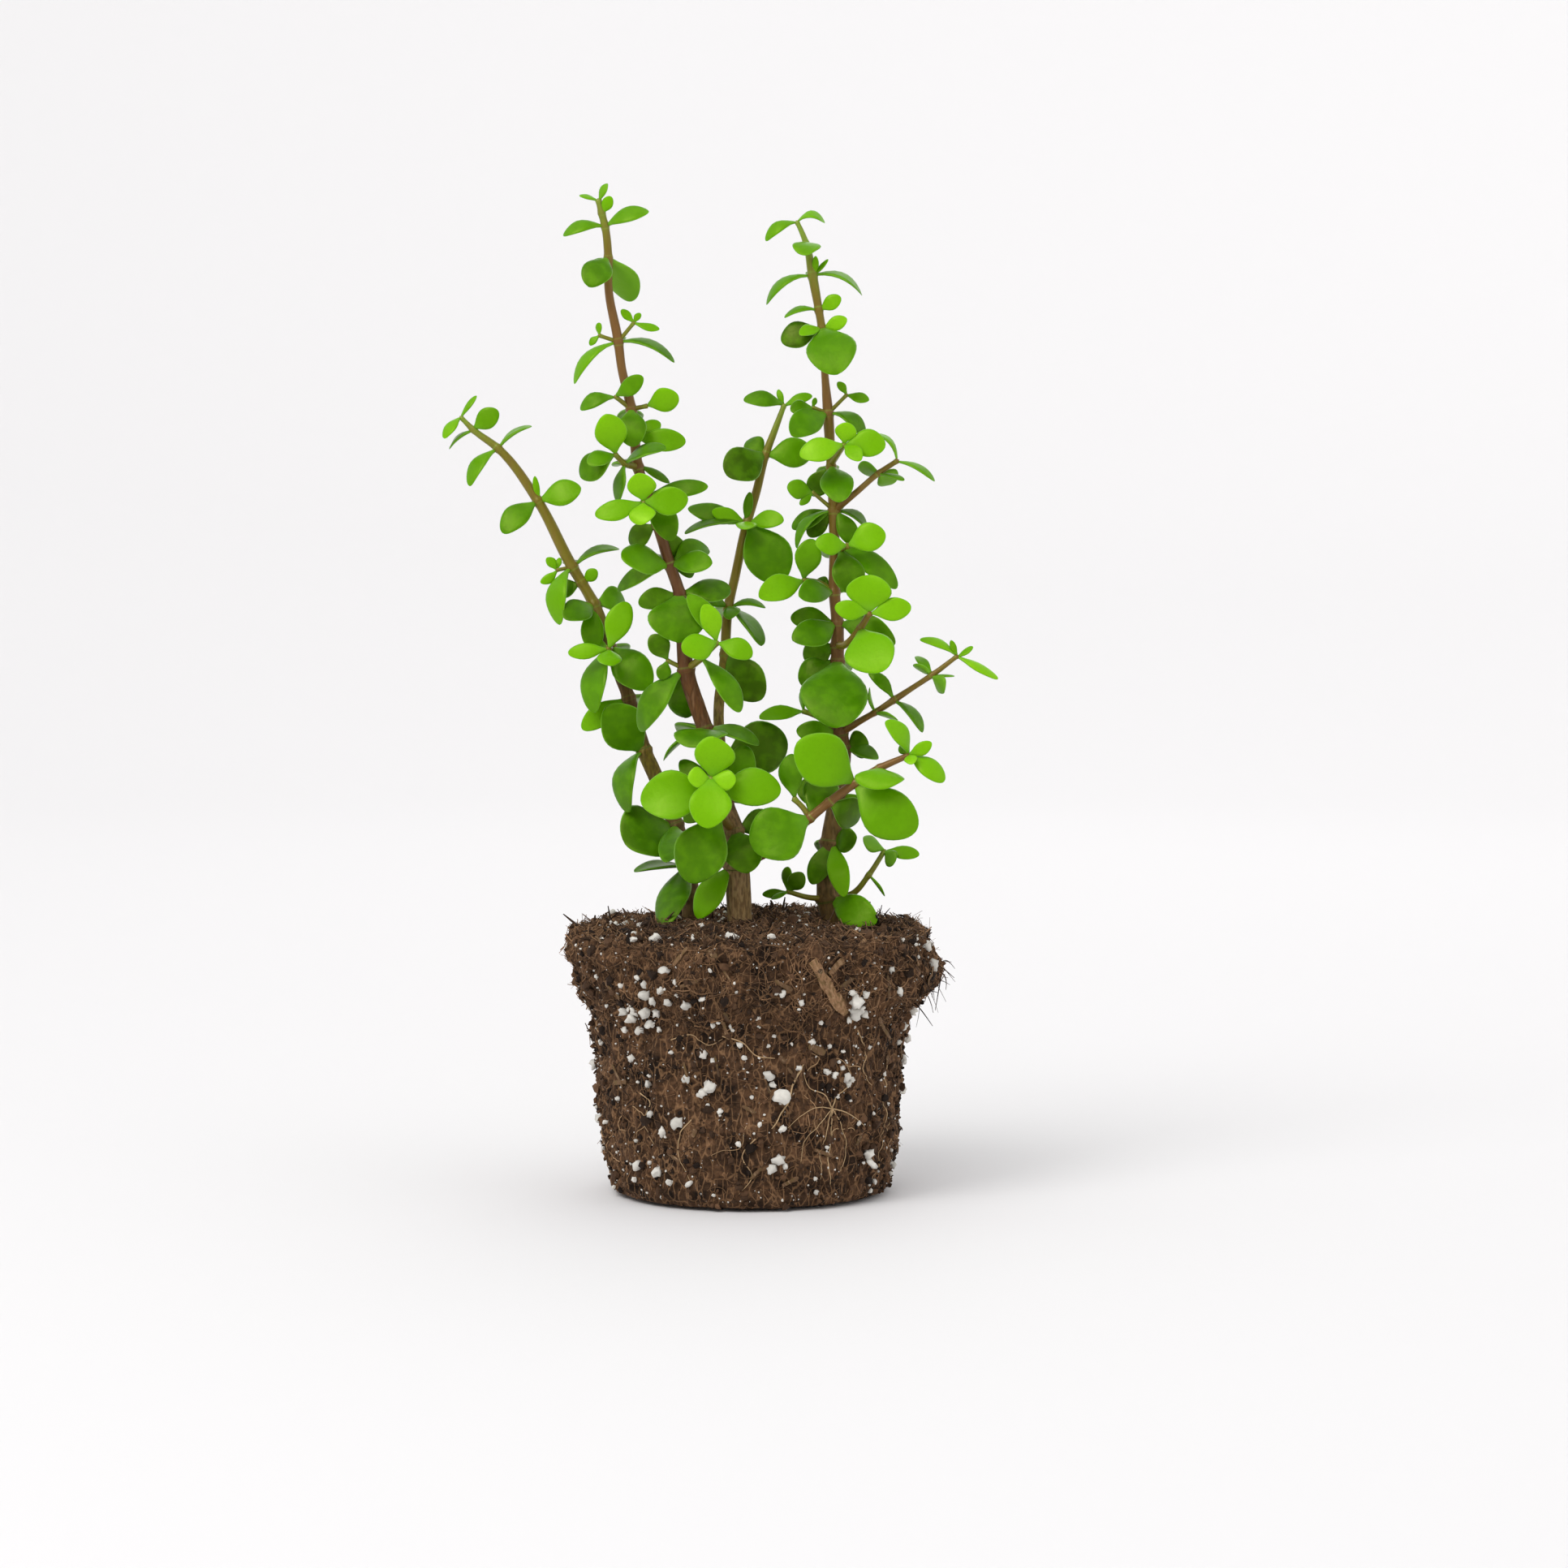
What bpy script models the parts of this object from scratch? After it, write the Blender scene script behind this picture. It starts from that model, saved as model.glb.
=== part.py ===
"""Jade plant (dwarf elephant bush) with its bare root ball, lifted from its pot.

Metres, +Z up, the front is -Y. The root ball stands on its flat base at z = 0.
Stems are bevelled curves that stand in sockets in the ball. Every leaf is a thin
fleshy blade lofted along a bowed centre line from its node to its tip. Broad leaves
are objects of their own, and small leaves are joined to the shoot that carries them.
"""
import bmesh
import bpy
from mathutils import Vector

MM = 0.001

# Root ball: (radius, height) of the turned outline, from the base to the soil top.
BALL_PROFILE = (
    (0, 0), (42, 0), (45, 2), (46.5, 15), (48, 30), (49.5, 46), (50.5, 58),
    (53, 62.5), (55.5, 67), (56.8, 74), (57.5, 81), (56.5, 83.5), (40, 84.5), (20, 85.5), (0, 86),
)
BALL_STEPS = 40
SOCKET_FLOOR = 61.0        # height of the floor of each stem socket
SOCKET_GAP = 0.35          # clear space between a buried stem and its socket

NODE_GAP = 0.6             # clear space between a leaf or shoot and the stem it grows on
END_INSET = 0.5            # how far inside a shoot's end its last leaves are rooted
OWN_LEAF_WIDTH = 10.0      # leaves at least this wide are objects of their own
LEAF_THICKNESS = 1.9
THIN_STEM = 1.3            # stems thinner than this radius are six-sided, others eight-sided

# Stems, each a route from foot to tip: (x, y, z, radius) in millimetres.
STEMS = {
    "stem_left": (
        (-18, 12, 62, 3.0), (-19, 12, 86, 2.9), (-20, 12, 103, 2.7), (-24, 11, 116, 2.6),
        (-30, 9, 131, 2.5), (-34, 8, 140, 2.4), (-39, 6, 157, 2.1), (-45, 4, 173, 2.0),
    ),
    "stem_left_top": (
        (-45, 4, 174, 1.9), (-50, 2, 187, 1.9), (-54, 2, 194, 1.7), (-57, 1, 199, 1.8),
        (-68, 0, 220, 1.6), (-81, 0, 237, 1.3), (-89, 0, 243, 1.0), (-93, 0, 247, 0.7),
    ),
    "trunk": (
        (-3, -8, 62, 4.2), (-3, -8, 84, 4.0), (-4, -8, 105, 3.8), (-5, -8, 116, 3.1),
        (-8, -6, 125, 2.9), (-14, -4, 148, 2.6), (-20, -3, 167, 2.5),
    ),
    "stem_middle": (
        (-20, -3, 169, 2.4), (-21, -3, 180, 2.2), (-22, -3, 191, 1.9), (-25, -3, 200, 1.8),
        (-29, -3, 213, 1.7), (-32, -3, 222, 1.7), (-35, -3, 231, 1.7), (-36, -3, 240, 1.6),
        (-37, -3, 249, 1.6),
    ),
    "stem_middle_top": (
        (-37, -3, 251.5, 1.5), (-40, -3, 262, 1.4), (-41, -3, 270, 1.5), (-44, -3, 287, 1.3),
        (-44, -3, 296, 1.3), (-45, -3, 306, 1.2), (-46, -3, 310, 1.1), (-47, -3, 314, 0.9),
    ),
    "stem_back": (
        (-7, -1, 124, 1.6), (-9, 1, 138, 1.7), (-10, 2, 152, 1.7), (-8, 6, 171, 1.6),
        (-7, 8, 186, 1.6), (-5, 9, 195, 1.5), (-1, 10, 213, 1.5), (2, 11, 223, 1.4),
        (5, 11, 235, 1.3), (8, 11, 243, 1.1), (11, 11, 251, 0.8),
    ),
    "stem_right": (
        (26, 6, 62, 3.6), (26, 6, 88, 3.6), (25, 6, 93, 3.5), (26, 6, 111, 3.3),
        (28, 6, 127, 2.6), (30, 6, 141, 2.3), (29, 6, 146, 2.3), (28, 6, 158, 2.1),
    ),
    "stem_right_middle": (
        (28, 6, 159, 2.1), (28, 6, 169, 2.1), (28, 6, 174, 2.1), (28, 6, 181, 2.0), (27, 6, 191, 1.8),
        (27, 6, 205, 1.6), (27, 6, 217, 1.9), (26, 5, 231, 1.5),
    ),
    "stem_right_top": (
        (26, 5, 232, 1.5), (25, 5, 248, 1.7), (24, 4, 260, 1.2), (23, 4, 275, 1.3),
        (22, 4, 281, 1.3), (20, 4, 292, 1.5), (18, 4, 302, 1.0), (16, 4, 307, 0.8),
        (15, 4, 309, 0.7),
    ),
}

# Shoots: the stem or shoot that carries it, the number of the route point there, whether it
# is an object of its own, and the rest of its route.
SHOOTS = {
    "branch_red": ("trunk", 2, True, (
        (8, -11, 111, 1.6), (19, -18, 121, 1.5), (25, -19, 126, 1.4), (33, -20, 132, 1.4),
        (41, -21, 137, 1.2), (50, -21, 141, 0.9))),
    "shoot_red_leaf": ("branch_red", 2, False, ((17, -17, 124, 0.9), (14, -16, 127, 0.9))),
    "shoot_left_bud": ("stem_left_top", 3, False, ((-62, 0, 198, 0.6),)),
    "shoot_left": ("stem_left", 7, True, ((-45, -2, 173, 1.1), (-45, -6, 173, 0.9))),
    "shoot_trunk_front": ("trunk", 3, True, (
        (-9, -15, 122, 1.4), (-11, -19, 129, 1.3), (-12, -22, 134, 1.1))),
    "shoot_trunk_left": ("trunk", 6, False, ((-26, -4, 170, 0.7),)),
    "shoot_trunk_right": ("trunk", 6, True, ((-15, -8, 171, 1.1), (-10, -11, 176, 0.9))),
    "shoot_middle_front": ("stem_middle", 4, True, ((-33, -14, 220, 1.0),)),
    "shoot_middle_left": ("stem_middle", 6, True, ((-39, -8, 232, 1.0), (-42, -11, 235, 0.8))),
    "shoot_middle_tip_a": ("stem_middle", 8, False, ((-42, -5, 253, 0.7),)),
    "shoot_middle_tip_b": ("stem_middle", 8, False, ((-32, -5, 250, 0.7),)),
    "shoot_top_left": ("stem_middle_top", 2, False, ((-47, -4, 272, 0.6),)),
    "shoot_top_right": ("stem_middle_top", 2, False, ((-36, -4, 276, 0.6),)),
    "shoot_foot_left": ("stem_right", 2, True, ((18, 2, 94, 0.9), (12, 0, 96, 0.8))),
    "shoot_foot_right": ("stem_right", 2, True, (
        (33, 4, 95, 1.0), (38, 2, 101, 0.9), (43, 0, 109, 0.8))),
    "shoot_right_long": ("stem_right", 6, True, (
        (35, 2, 150, 1.1), (40, 0, 153, 1.0), (46, -1, 157, 1.1), (52, -2, 161, 0.9),
        (58, -3, 165, 0.9), (66, -3, 171, 0.7))),
    "shoot_right_back": ("stem_right", 6, True, ((22, 8, 151, 0.9), (17, 8, 153, 0.8))),
    "shoot_right_front": ("stem_right_middle", 2, True, (
        (31, -3, 175, 1.2), (35, -9, 180, 1.1), (38, -13, 185, 1.0))),
    "shoot_right_left": ("stem_right_middle", 4, True, ((22, 6, 194, 1.0), (17, 4, 195, 0.9))),
    "shoot_right_near": ("stem_right_middle", 5, True, ((29, -1, 205, 1.0), (31, -6, 206, 0.9))),
    "shoot_right_arm": ("stem_right_middle", 6, True, (
        (34, -1, 223, 1.0), (41, -2, 229, 0.9), (47, -3, 233, 0.8))),
    "shoot_right_bud": ("stem_right_middle", 6, False, ((20, 2, 223, 0.6),)),
    "shoot_right_rosette": ("stem_right_top", 0, True, ((28, -1, 235, 1.0), (30, -7, 238, 0.9))),
    "shoot_right_tip_a": ("stem_right_top", 1, False, ((31, 3, 254, 0.6),)),
    "shoot_right_tip_b": ("stem_right_top", 1, False, ((20, 2, 250, 0.6),)),
}

# Leaves of each stem or shoot: the number of the route point it grows from, its tip (x, y, z),
# its width, the way its upper face looks, and how far it bows as a share of its length.
LEAVES = {
    "stem_left_top": (
        (7, (-88, -1, 254), 2.5, (-1, -1, 1), 0.05), (7, (-98, -3, 240), 4.5, (-1, -1, 0), 0.1),
        (6, (-97, 2, 237), 4, (-1, 0, 1), 0.1), (6, (-81, -4, 249), 6.5, (0, -1, 0.3), 0.05),
        (5, (-70, -2, 244), 5, (0, 0, 1), 0.12), (5, (-90, -3, 225), 6, (-1, -1, 1), 0.12),
        (4, (-54, -3, 224), 8.5, (0, -1, 0.6), 0.08), (4, (-79, -6, 210), 8, (-0.4, -1, 0.5), 0.1),
        (4, (-69, -3, 228), 2, (0, -1, 0), 0), (3, (-42, 2, 205), 5, (0, 0, 1), 0.15),
        (3, (-61, -5, 181), 8, (-1, -1, 0.4), 0.2), (2, (-49, 0, 198), 4, (-0.5, -1, 0), 0.05),
        (1, (-59, -9, 183), 8.5, (0, -1, 0.7), 0.08), (1, (-40, 9, 187), 9, (0.2, -1, 0.6), 0.1),
        (1, (-51, 18, 184), 8, (0, 0.4, 1), 0.1), (3, (-58, 13, 200), 5, (0, 0.2, 1), 0.1),
    ),
    "shoot_left_bud": (
        (1, (-65, -2, 202), 3, (0, -1, 0), 0), (1, (-67, -1, 194), 3, (0, -1, 0), 0),
        (1, (-61, 1, 202), 2, (0, -1, 0), 0),
    ),
    "stem_left": (
        (7, (-32, -4, 161), 11.5, (0, -1, 0.5), 0.1), (7, (-50, -3, 153), 10, (-1, -1, 0.3), 0.12),
        (6, (-54, 6, 147), 7, (0, -1, 0.3), 0.08), (5, (-46, -3, 154), 14, (0, -1, 0.1), 0.05),
        (5, (-39, 0, 121), 9.5, (-1, -0.7, 0.3), 0.25), (3, (-40, -2, 111), 18.5, (0, -1, 0.5), 0.08),
        (2, (-37, 3, 102), 6, (0, 0, 1), 0.05), (2, (-27, -9, 86), 11, (-0.6, -1, 0.2), 0.05),
        (7, (-43, 20, 170), 9, (0, 0.4, 1), 0.1), (6, (-37, 20, 154), 8, (0, 0.4, 1), 0.1),
    ),
    "shoot_left": (
        (2, (-39, -7, 188), 8, (0, -1, 0.1), 0.05), (2, (-45, -13, 168), 7.5, (0, -1, 0.6), 0.05),
        (2, (-58, -6, 172), 5, (0, -1, 0.4), 0.05), (1, (-50, 2, 176), 2, (0, -1, 0), 0),
    ),
    "trunk": (
        (2, (-17, -12, 89), 9, (-0.6, -1, 0.3), 0.08), (3, (0, -19, 104), 12, (0, -1, 0.5), 0.08),
        (3, (9, -1, 119), 6, (0, -1, 1), 0.05), (4, (-1, -8, 143), 10, (0, -1, 0.1), 0.05),
        (5, (-16, -17, 144), 16, (0, -0.3, 1), 0.08), (5, (3, -9, 144), 7, (0, -0.2, 1), 0.1),
        (5, (-28, 0, 139), 6, (-0.5, 0.2, 1), 0.08), (6, (-21, 8, 152), 7, (-0.6, -1, 0), 0.08),
        (4, (-22, 2, 138), 7, (0, -1, 0.2), 0.05), (4, (-21, -2, 119), 6, (0, -1, 0.5), 0.05),
        (6, (-35, -6, 148), 10, (-1, -1, 0.3), 0.15),
        (3, (-10, 8, 110), 9, (0, 0.5, 1), 0.1), (4, (-20, 6, 127), 9, (0, 0.3, 1), 0.1),
        (5, (-22, 10, 147), 8.5, (0, 0.3, 1), 0.1),
    ),
    "branch_red": (
        (2, (1, -24, 112), 17, (0, -1, 0.5), 0.08), (2, (25, -9, 134), 11, (0, -1, 0), 0.05),
        (3, (34, -11, 121), 8, (0, -1, 0.3), 0.05), (4, (15, -26, 145), 16, (0, -1, 0.4), 0.08),
        (4, (52, -25, 117), 15, (0, -1, 0.4), 0.08), (5, (41, -30, 131), 14.5, (0, -1, 0.1), 0.08),
        (6, (43, -22, 152), 7, (1, -1, 0.6), 0.12), (6, (57, -23, 145), 4, (0, -1, 0.3), 0.05),
        (6, (61, -24, 133), 7, (0.5, -1, 0.5), 0.1), (6, (51, -27, 139), 4, (0, -1, 0.4), 0.05),
        (6, (47, -18, 144), 3, (0, -1, 0), 0.05),
    ),
    "shoot_red_leaf": ((2, (13, -14, 141), 8, (-0.6, -1, 0), 0.05),),
    "shoot_trunk_front": (
        (1, (-19, -21, 101), 16, (0, -1, 0.3), 0.08), (3, (-11, -25, 147), 12, (0, -1, 0.2), 0.05),
        (3, (-19, -25, 134), 6.5, (0, -1, 0.3), 0.03), (3, (-4, -25, 133), 6.5, (0, -1, 0.3), 0.03),
        (3, (-13, -31, 119), 12.5, (0, -1, 0.5), 0.06), (2, (-34, -21, 127), 15, (0, -1, 0.4), 0.08),
        (2, (10, -19, 130), 11.5, (0, -1, 0.4), 0.08),
    ),
    "shoot_trunk_left": (
        (1, (-31, -5, 178), 6.5, (0, -1, 0.3), 0.05), (1, (-28, -6, 164), 4.5, (0, -1, 0.3), 0.05),
    ),
    "shoot_trunk_right": (
        (1, (-3, -14, 154), 8, (0.8, -1, 0.4), 0.08), (2, (-14, -13, 188), 6.5, (0.3, -1, 0), 0.05),
        (2, (-21, -18, 174), 8.5, (0, -1, 0.5), 0.06), (2, (1, -14, 172), 7, (0, -1, 0.7), 0.08),
    ),
    "stem_middle": (
        (2, (-23, -12, 176), 17, (0, -1, 0.35), 0.08), (3, (-42, 3, 192), 6, (-0.3, -1, 1), 0.08),
        (2, (-35, -4, 188), 6.5, (0, -1, 0.4), 0.06), (2, (-6, 5, 192), 7, (0, 0, 1), 0.15),
        (3, (-40, -13, 203), 11, (0, -1, 0.9), 0.06), (3, (-12, -11, 201), 8, (0, -1, 0.9), 0.06),
        (3, (-13, 3, 205), 8, (0.3, -1, 1), 0.2), (4, (-38, 1, 207), 7, (0, -1, 0.3), 0.06),
        (5, (-13, -6, 225), 6, (0, -1, 0.8), 0.06), (6, (-25, -2, 226), 3.5, (1, -1, 1), 0.06),
        (7, (-20, -5, 239), 7, (-0.2, -1, 0.4), 0.06), (7, (-28, -1, 245), 5, (0, -1, 0.4), 0.06),
        (8, (-36, -12, 238), 9, (0, -1, 0.9), 0.08),
        (2, (-25, 13, 184), 9.8, (0, 0.5, 1), 0.1), (3, (-31, 13, 202), 9, (0, 0.3, 1), 0.1),
        (5, (-33, 12, 221), 8, (0, 0.3, 1), 0.1), (6, (-42, 9, 232), 8, (-0.3, 0.3, 1), 0.1),
        (8, (-38, 11, 243), 8, (0, 0.5, 1), 0.1),
    ),
    "shoot_middle_front": (
        (1, (-34, -17, 229), 8.5, (0, -1, -0.1), 0.04), (1, (-33, -20, 213), 8, (0, -1, 0.5), 0.04),
        (1, (-48, -16, 216), 6.5, (0, -1, 0.4), 0.06), (1, (-19, -16, 221), 8.5, (0, -1, 0.2), 0.06),
    ),
    "shoot_middle_left": (
        (2, (-44, -17, 247), 9.5, (0, -1, 0.2), 0.05), (2, (-53, -9, 228), 9, (-0.4, -1, 0.5), 0.08),
        (2, (-50, -17, 232), 6, (0, -1, 1), 0.06), (1, (-26, -13, 237), 7, (0, -0.4, 1), 0.12),
        (1, (-41, -10, 220), 6, (-1, -0.6, 0.3), 0.06),
    ),
    "shoot_middle_tip_a": (
        (1, (-53, -5, 249), 5.5, (-0.2, -1, 1), 0.15), (1, (-33, -9, 259), 5.5, (0, -1, 0.3), 0.05),
    ),
    "shoot_middle_tip_b": ((1, (-22, -7, 253), 7.5, (0, -1, 0), 0.04),),
    "stem_middle_top": (
        (2, (-55, -4, 257), 5, (-1, -0.6, 1), 0.2), (2, (-23, -4, 265), 5, (0.3, -0.3, 1), 0.15),
        (4, (-50, -13, 287), 9, (0, -1, 0.8), 0.08), (4, (-37, 7, 283), 10, (0.2, 1, 1), 0.08),
        (4, (-49, -3, 295), 1.6, (0, -1, 0), 0), (5, (-58, -5, 303), 5, (0, -0.6, 1), 0.15),
        (5, (-31, -5, 310), 6, (0, -0.8, 1), 0.15), (7, (-44, -4, 319), 3.5, (-1, -1, 1), 0.05),
        (7, (-53, -4, 315), 2.5, (0, -0.4, 1), 0.04),
        (6, (-43, -5, 315), 3.5, (0, -1, 0.3), 0.04),
        (2, (-41, 8, 270), 4, (0, 0.2, 1), 0.12),
    ),
    "shoot_top_left": (
        (1, (-47, -4, 276), 2.5, (-1, -0.6, 0), 0), (1, (-50, -4, 269), 2.5, (-1, -0.6, 0), 0),
    ),
    "shoot_top_right": (
        (1, (-40, -4, 280), 2.6, (0, -1, 0.3), 0), (1, (-28, -5, 274), 3, (0, -0.6, 1), 0),
        (1, (-34, -3, 279), 2, (0, -1, 0), 0),
    ),
    "stem_back": (
        (1, (12, 4, 144), 16, (0, -1, 0.2), 0.08), (3, (4, 0, 157), 12, (0, -1, 0.2), 0.08),
        (4, (-18, -2, 191), 5.5, (0, -1, 0.6), 0.06), (4, (5, 6, 186), 4, (0, -0.2, 1), 0.15),
        (4, (-6, -1, 183), 5.5, (0, -1, 0.6), 0.05), (4, (4, 3, 174), 8.5, (1, -0.3, 0.6), 0.1),
        (6, (-1, -1, 211), 6.5, (0, -1, 0.7), 0.04), (6, (11, 5, 214), 6, (0, -1, 0.5), 0.05),
        (6, (-12, 6, 217), 5, (0, -1, 0.5), 0.05), (6, (-21, 5, 211), 6, (0, 0, 1), 0.1),
        (6, (0, 8, 223), 3, (0, -1, 0), 0.03), (6, (10, 6, 194), 15, (0.3, -1, 0.3), 0.06),
        (8, (-8, 3, 228), 12, (0, -1, 0.4), 0.06), (8, (17, 13, 237), 7, (0.2, 0.2, 1), 0.15),
        (10, (-2, 9, 253), 6, (0, -1, 1), 0.1), (10, (20, 10, 254), 4, (0, -1, 1), 0.1),
        (10, (9, 12, 256), 2, (0, -1, 0), 0.03),
        (3, (-4, 21, 171), 8, (0, 0.3, 1), 0.1), (4, (-9, 22, 182), 7, (0, 0.4, 1), 0.1),
        (6, (-1, 24, 211), 7, (0, 0.3, 1), 0.1), (8, (4, 23, 234), 5, (0, 0.2, 1), 0.1),
    ),
    "stem_right": (
        (3, (34, -2, 113), 8, (0, -1, 0.5), 0.08), (3, (20, 1, 98), 7, (-0.2, -1, 0.2), 0.06),
        (3, (30, -5, 95), 6.5, (0, -1, 0.3), 0.1), (2, (39, -8, 90), 9, (0.3, -1, 0.7), 0.08),
        (5, (41, 2, 138), 6, (0.5, -0.7, 1), 0.12), (6, (15, 3, 147), 7, (0, -1, 0.4), 0.06),
        (3, (24, 21, 107), 8, (0, 0.4, 1), 0.1), (4, (26, 22, 124), 9, (0, 0.4, 1), 0.1),
        (5, (24, 21, 138), 9, (0, 0.4, 1), 0.1),
    ),
    "shoot_foot_left": (
        (2, (4, -1, 95), 3, (0, -1, 0.4), 0.03), (2, (12, -2, 104), 4, (-1, -1, 0), 0.03),
        (2, (17, -3, 102), 5.5, (0, -1, 0), 0.04), (2, (7, -5, 94), 2, (0, -1, 1), 0),
    ),
    "shoot_foot_right": (
        (3, (36, -3, 113), 6, (0, 1, -1), 0.05), (3, (46, -4, 105), 5.5, (0, 1, 0.4), 0.05),
        (3, (54, -2, 108), 5, (0, -1, 1), 0.05), (2, (43, 3, 94), 3, (1, 0.3, 0.5), 0.05),
    ),
    "shoot_right_long": (
        (2, (38, -4, 161), 3.5, (-0.3, -0.2, 1), 0.08), (2, (47, -6, 151), 4, (0.5, 0.4, 1), 0.05),
        (3, (38, -1, 166), 4, (-0.6, -0.3, 1), 0.15), (3, (55, -5, 147), 5.5, (1, -0.5, 0.6), 0.15),
        (5, (52, -1, 168), 5, (0, 0.5, 1), 0.05), (5, (62, -7, 160), 6, (0.3, 0.6, 0.5), 0.05),
        (5, (53, 2, 171), 3.5, (0, 0, 1), 0.08), (5, (65, -6, 165), 2, (0, 0, 1), 0),
        (6, (54, -3, 176), 4, (0, -0.1, 1), 0.12), (6, (79, -4, 164), 4, (0.2, -0.2, 1), 0.05),
        (6, (64, -5, 176), 2, (0, -1, 0.2), 0), (6, (71, -3, 174), 2.4, (0, -0.5, 1), 0),
    ),
    "shoot_right_back": (
        (2, (3, 1, 151), 5.5, (0, -1, 1), 0.06), (2, (18, 6, 161), 4, (-1, -0.4, 0), 0.1),
    ),
    "stem_right_middle": (
        (1, (28, -15, 150), 20, (0, -1, 0.4), 0.07), (1, (16, 5, 162), 10, (-0.3, -1, 0.2), 0.06),
        (3, (15, -5, 179), 9, (0, -1, 0.7), 0.06), (3, (13, 5, 183), 7, (0, -1, 0.3), 0.06),
        (3, (46, -1, 175), 9, (0.3, -1, 0.2), 0.08), (4, (16, -8, 190), 8, (0, -1, 0.6), 0.06),
        (3, (37, 7, 180), 4, (0, -1, 0.2), 0.03), (5, (47, -1, 193), 8, (0.3, -1, 0.9), 0.2),
        (6, (15, 3, 205), 5, (-1, -0.4, 0.7), 0.22), (6, (13, 9, 212), 6, (-0.5, -1, 0.5), 0.1),
        (6, (38, 7, 211), 5, (0.6, -0.4, 1), 0.2), (6, (19, 11, 209), 6, (0, -1, 0.4), 0.05),
        (7, (19, 9, 222), 7, (0, -1, 0.3), 0.06), (7, (29, -9, 220), 10, (0, -1, 0.6), 0.07),
        (1, (28, 22, 163), 9.8, (0, 0.5, 1), 0.1), (3, (23, 20, 178), 8, (0, 0.3, 1), 0.1),
        (4, (36, 19, 190), 9, (0, 0.3, 1), 0.1), (5, (25, 19, 202), 8, (0, 0.3, 1), 0.1),
        (6, (28, 18, 216), 5, (0, 0.2, 1), 0.1), (7, (24, 17, 227), 7, (0, 0.4, 1), 0.1),
    ),
    "shoot_right_front": (
        (3, (38, -15, 197), 13.5, (0, -1, 0), 0.04), (3, (27, -15, 187), 6, (0, -1, 0.3), 0.05),
        (3, (51, -15, 187), 7, (0, -1, 0.2), 0.05), (2, (42, -22, 167), 15, (0, -1, 0.4), 0.06),
    ),
    "shoot_right_left": (
        (2, (20, 1, 208), 8, (0, -1, 0), 0.05), (2, (3, -6, 190), 8.3, (0, -1, 0.3), 0.06),
    ),
    "shoot_right_near": (
        (2, (43, -8, 210), 9, (0, -1, 0.3), 0.06), (2, (21, -10, 207), 7, (0, -1, 0.4), 0.06),
        (1, (33, -7, 191), 9.8, (0.2, -1, 0.4), 0.08),
    ),
    "shoot_right_arm": (
        (2, (35, 5, 231), 6, (0, 1, 0.5), 0.05), (2, (46, 3, 226), 6, (0, 1, 0.5), 0.05),
        (2, (49, -8, 227), 3, (0, 0, 1), 0.03), (3, (39, -3, 242), 4, (0.8, -0.2, 1), 0.2),
        (3, (59, -5, 227), 4, (0.2, -0.2, 1), 0.1),
    ),
    "shoot_right_bud": (
        (1, (12, 0, 225), 6, (0, -1, 0.2), 0.05), (1, (16, 0, 219), 2.5, (0, -1, 0.3), 0),
    ),
    "stem_right_top": (
        (1, (13, -8, 241), 9, (0, -1, 0.5), 0.06), (1, (37, 2, 240), 6, (0.6, -0.5, 1), 0.25),
        (3, (28, -11, 261), 15, (0, -1, 0.5), 0.07), (3, (10, 4, 271), 8.5, (0, -1, 0.4), 0.06),
        (3, (16, -3, 273), 4.5, (0, -1, 1), 0.05), (3, (31, 2, 278), 4.5, (0, -1, 0.2), 0.04),
        (4, (11, 2, 279), 3.5, (0, -0.3, 1), 0.15), (4, (29, 2, 285), 4.7, (0, -1, 0.4), 0.05),
        (5, (5, 4, 283), 5, (-0.5, -0.3, 1), 0.22), (5, (36, 4, 286), 5, (0.4, -0.2, 1), 0.2),
        (5, (21, 2, 298), 2, (0, -1, 0), 0), (5, (25, 3, 297), 2, (0, -0.5, 1), 0),
        (6, (18, -6, 298), 8.5, (0, -1, 0.8), 0.08), (8, (5, 3, 303), 4.5, (-0.3, -0.5, 1), 0.2),
        (8, (24, 4, 309), 4, (0, -0.4, 1), 0.3),
        (1, (18, 17, 243), 8, (0, 0.4, 1), 0.1), (3, (26, 16, 267), 9, (0, 0.5, 1), 0.1),
        (5, (20, 12, 293), 4, (0, 0.2, 1), 0.1), (6, (18, 12, 300), 6, (0, 0.3, 1), 0.1),
    ),
    "shoot_right_rosette": (
        (2, (31, -9, 245), 6.5, (0, -1, 0), 0.04), (2, (43, -9, 238), 8.5, (0, -1, 0.3), 0.05),
        (2, (35, -14, 233), 5, (0, -1, 0.5), 0.05), (2, (16, -10, 237), 7.5, (0, -1, 0.4), 0.06),
    ),
    "shoot_right_tip_a": (
        (1, (28, 2, 258), 2.5, (0, -1, 0), 0), (1, (38, 1, 252), 4, (0, -1, 1), 0.05),
    ),
    "shoot_right_tip_b": (
        (1, (13, -2, 249), 5.5, (0, -1, 0.6), 0.05), (1, (21, 1, 253), 1.6, (0, -1, 0), 0),
    ),
}

# How far a stem and all it carries leans to the back for each millimetre above LEAN_FROM.
LEAN = {"stem_left": 0.14, "trunk": -0.05, "stem_back": 0.1, "stem_right": 0.05}
LEAN_FROM = 90
LEANS_WITH = {
    "stem_left_top": "stem_left", "stem_middle": "trunk", "stem_middle_top": "trunk",
    "stem_right_middle": "stem_right", "stem_right_top": "stem_right",
}

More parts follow.
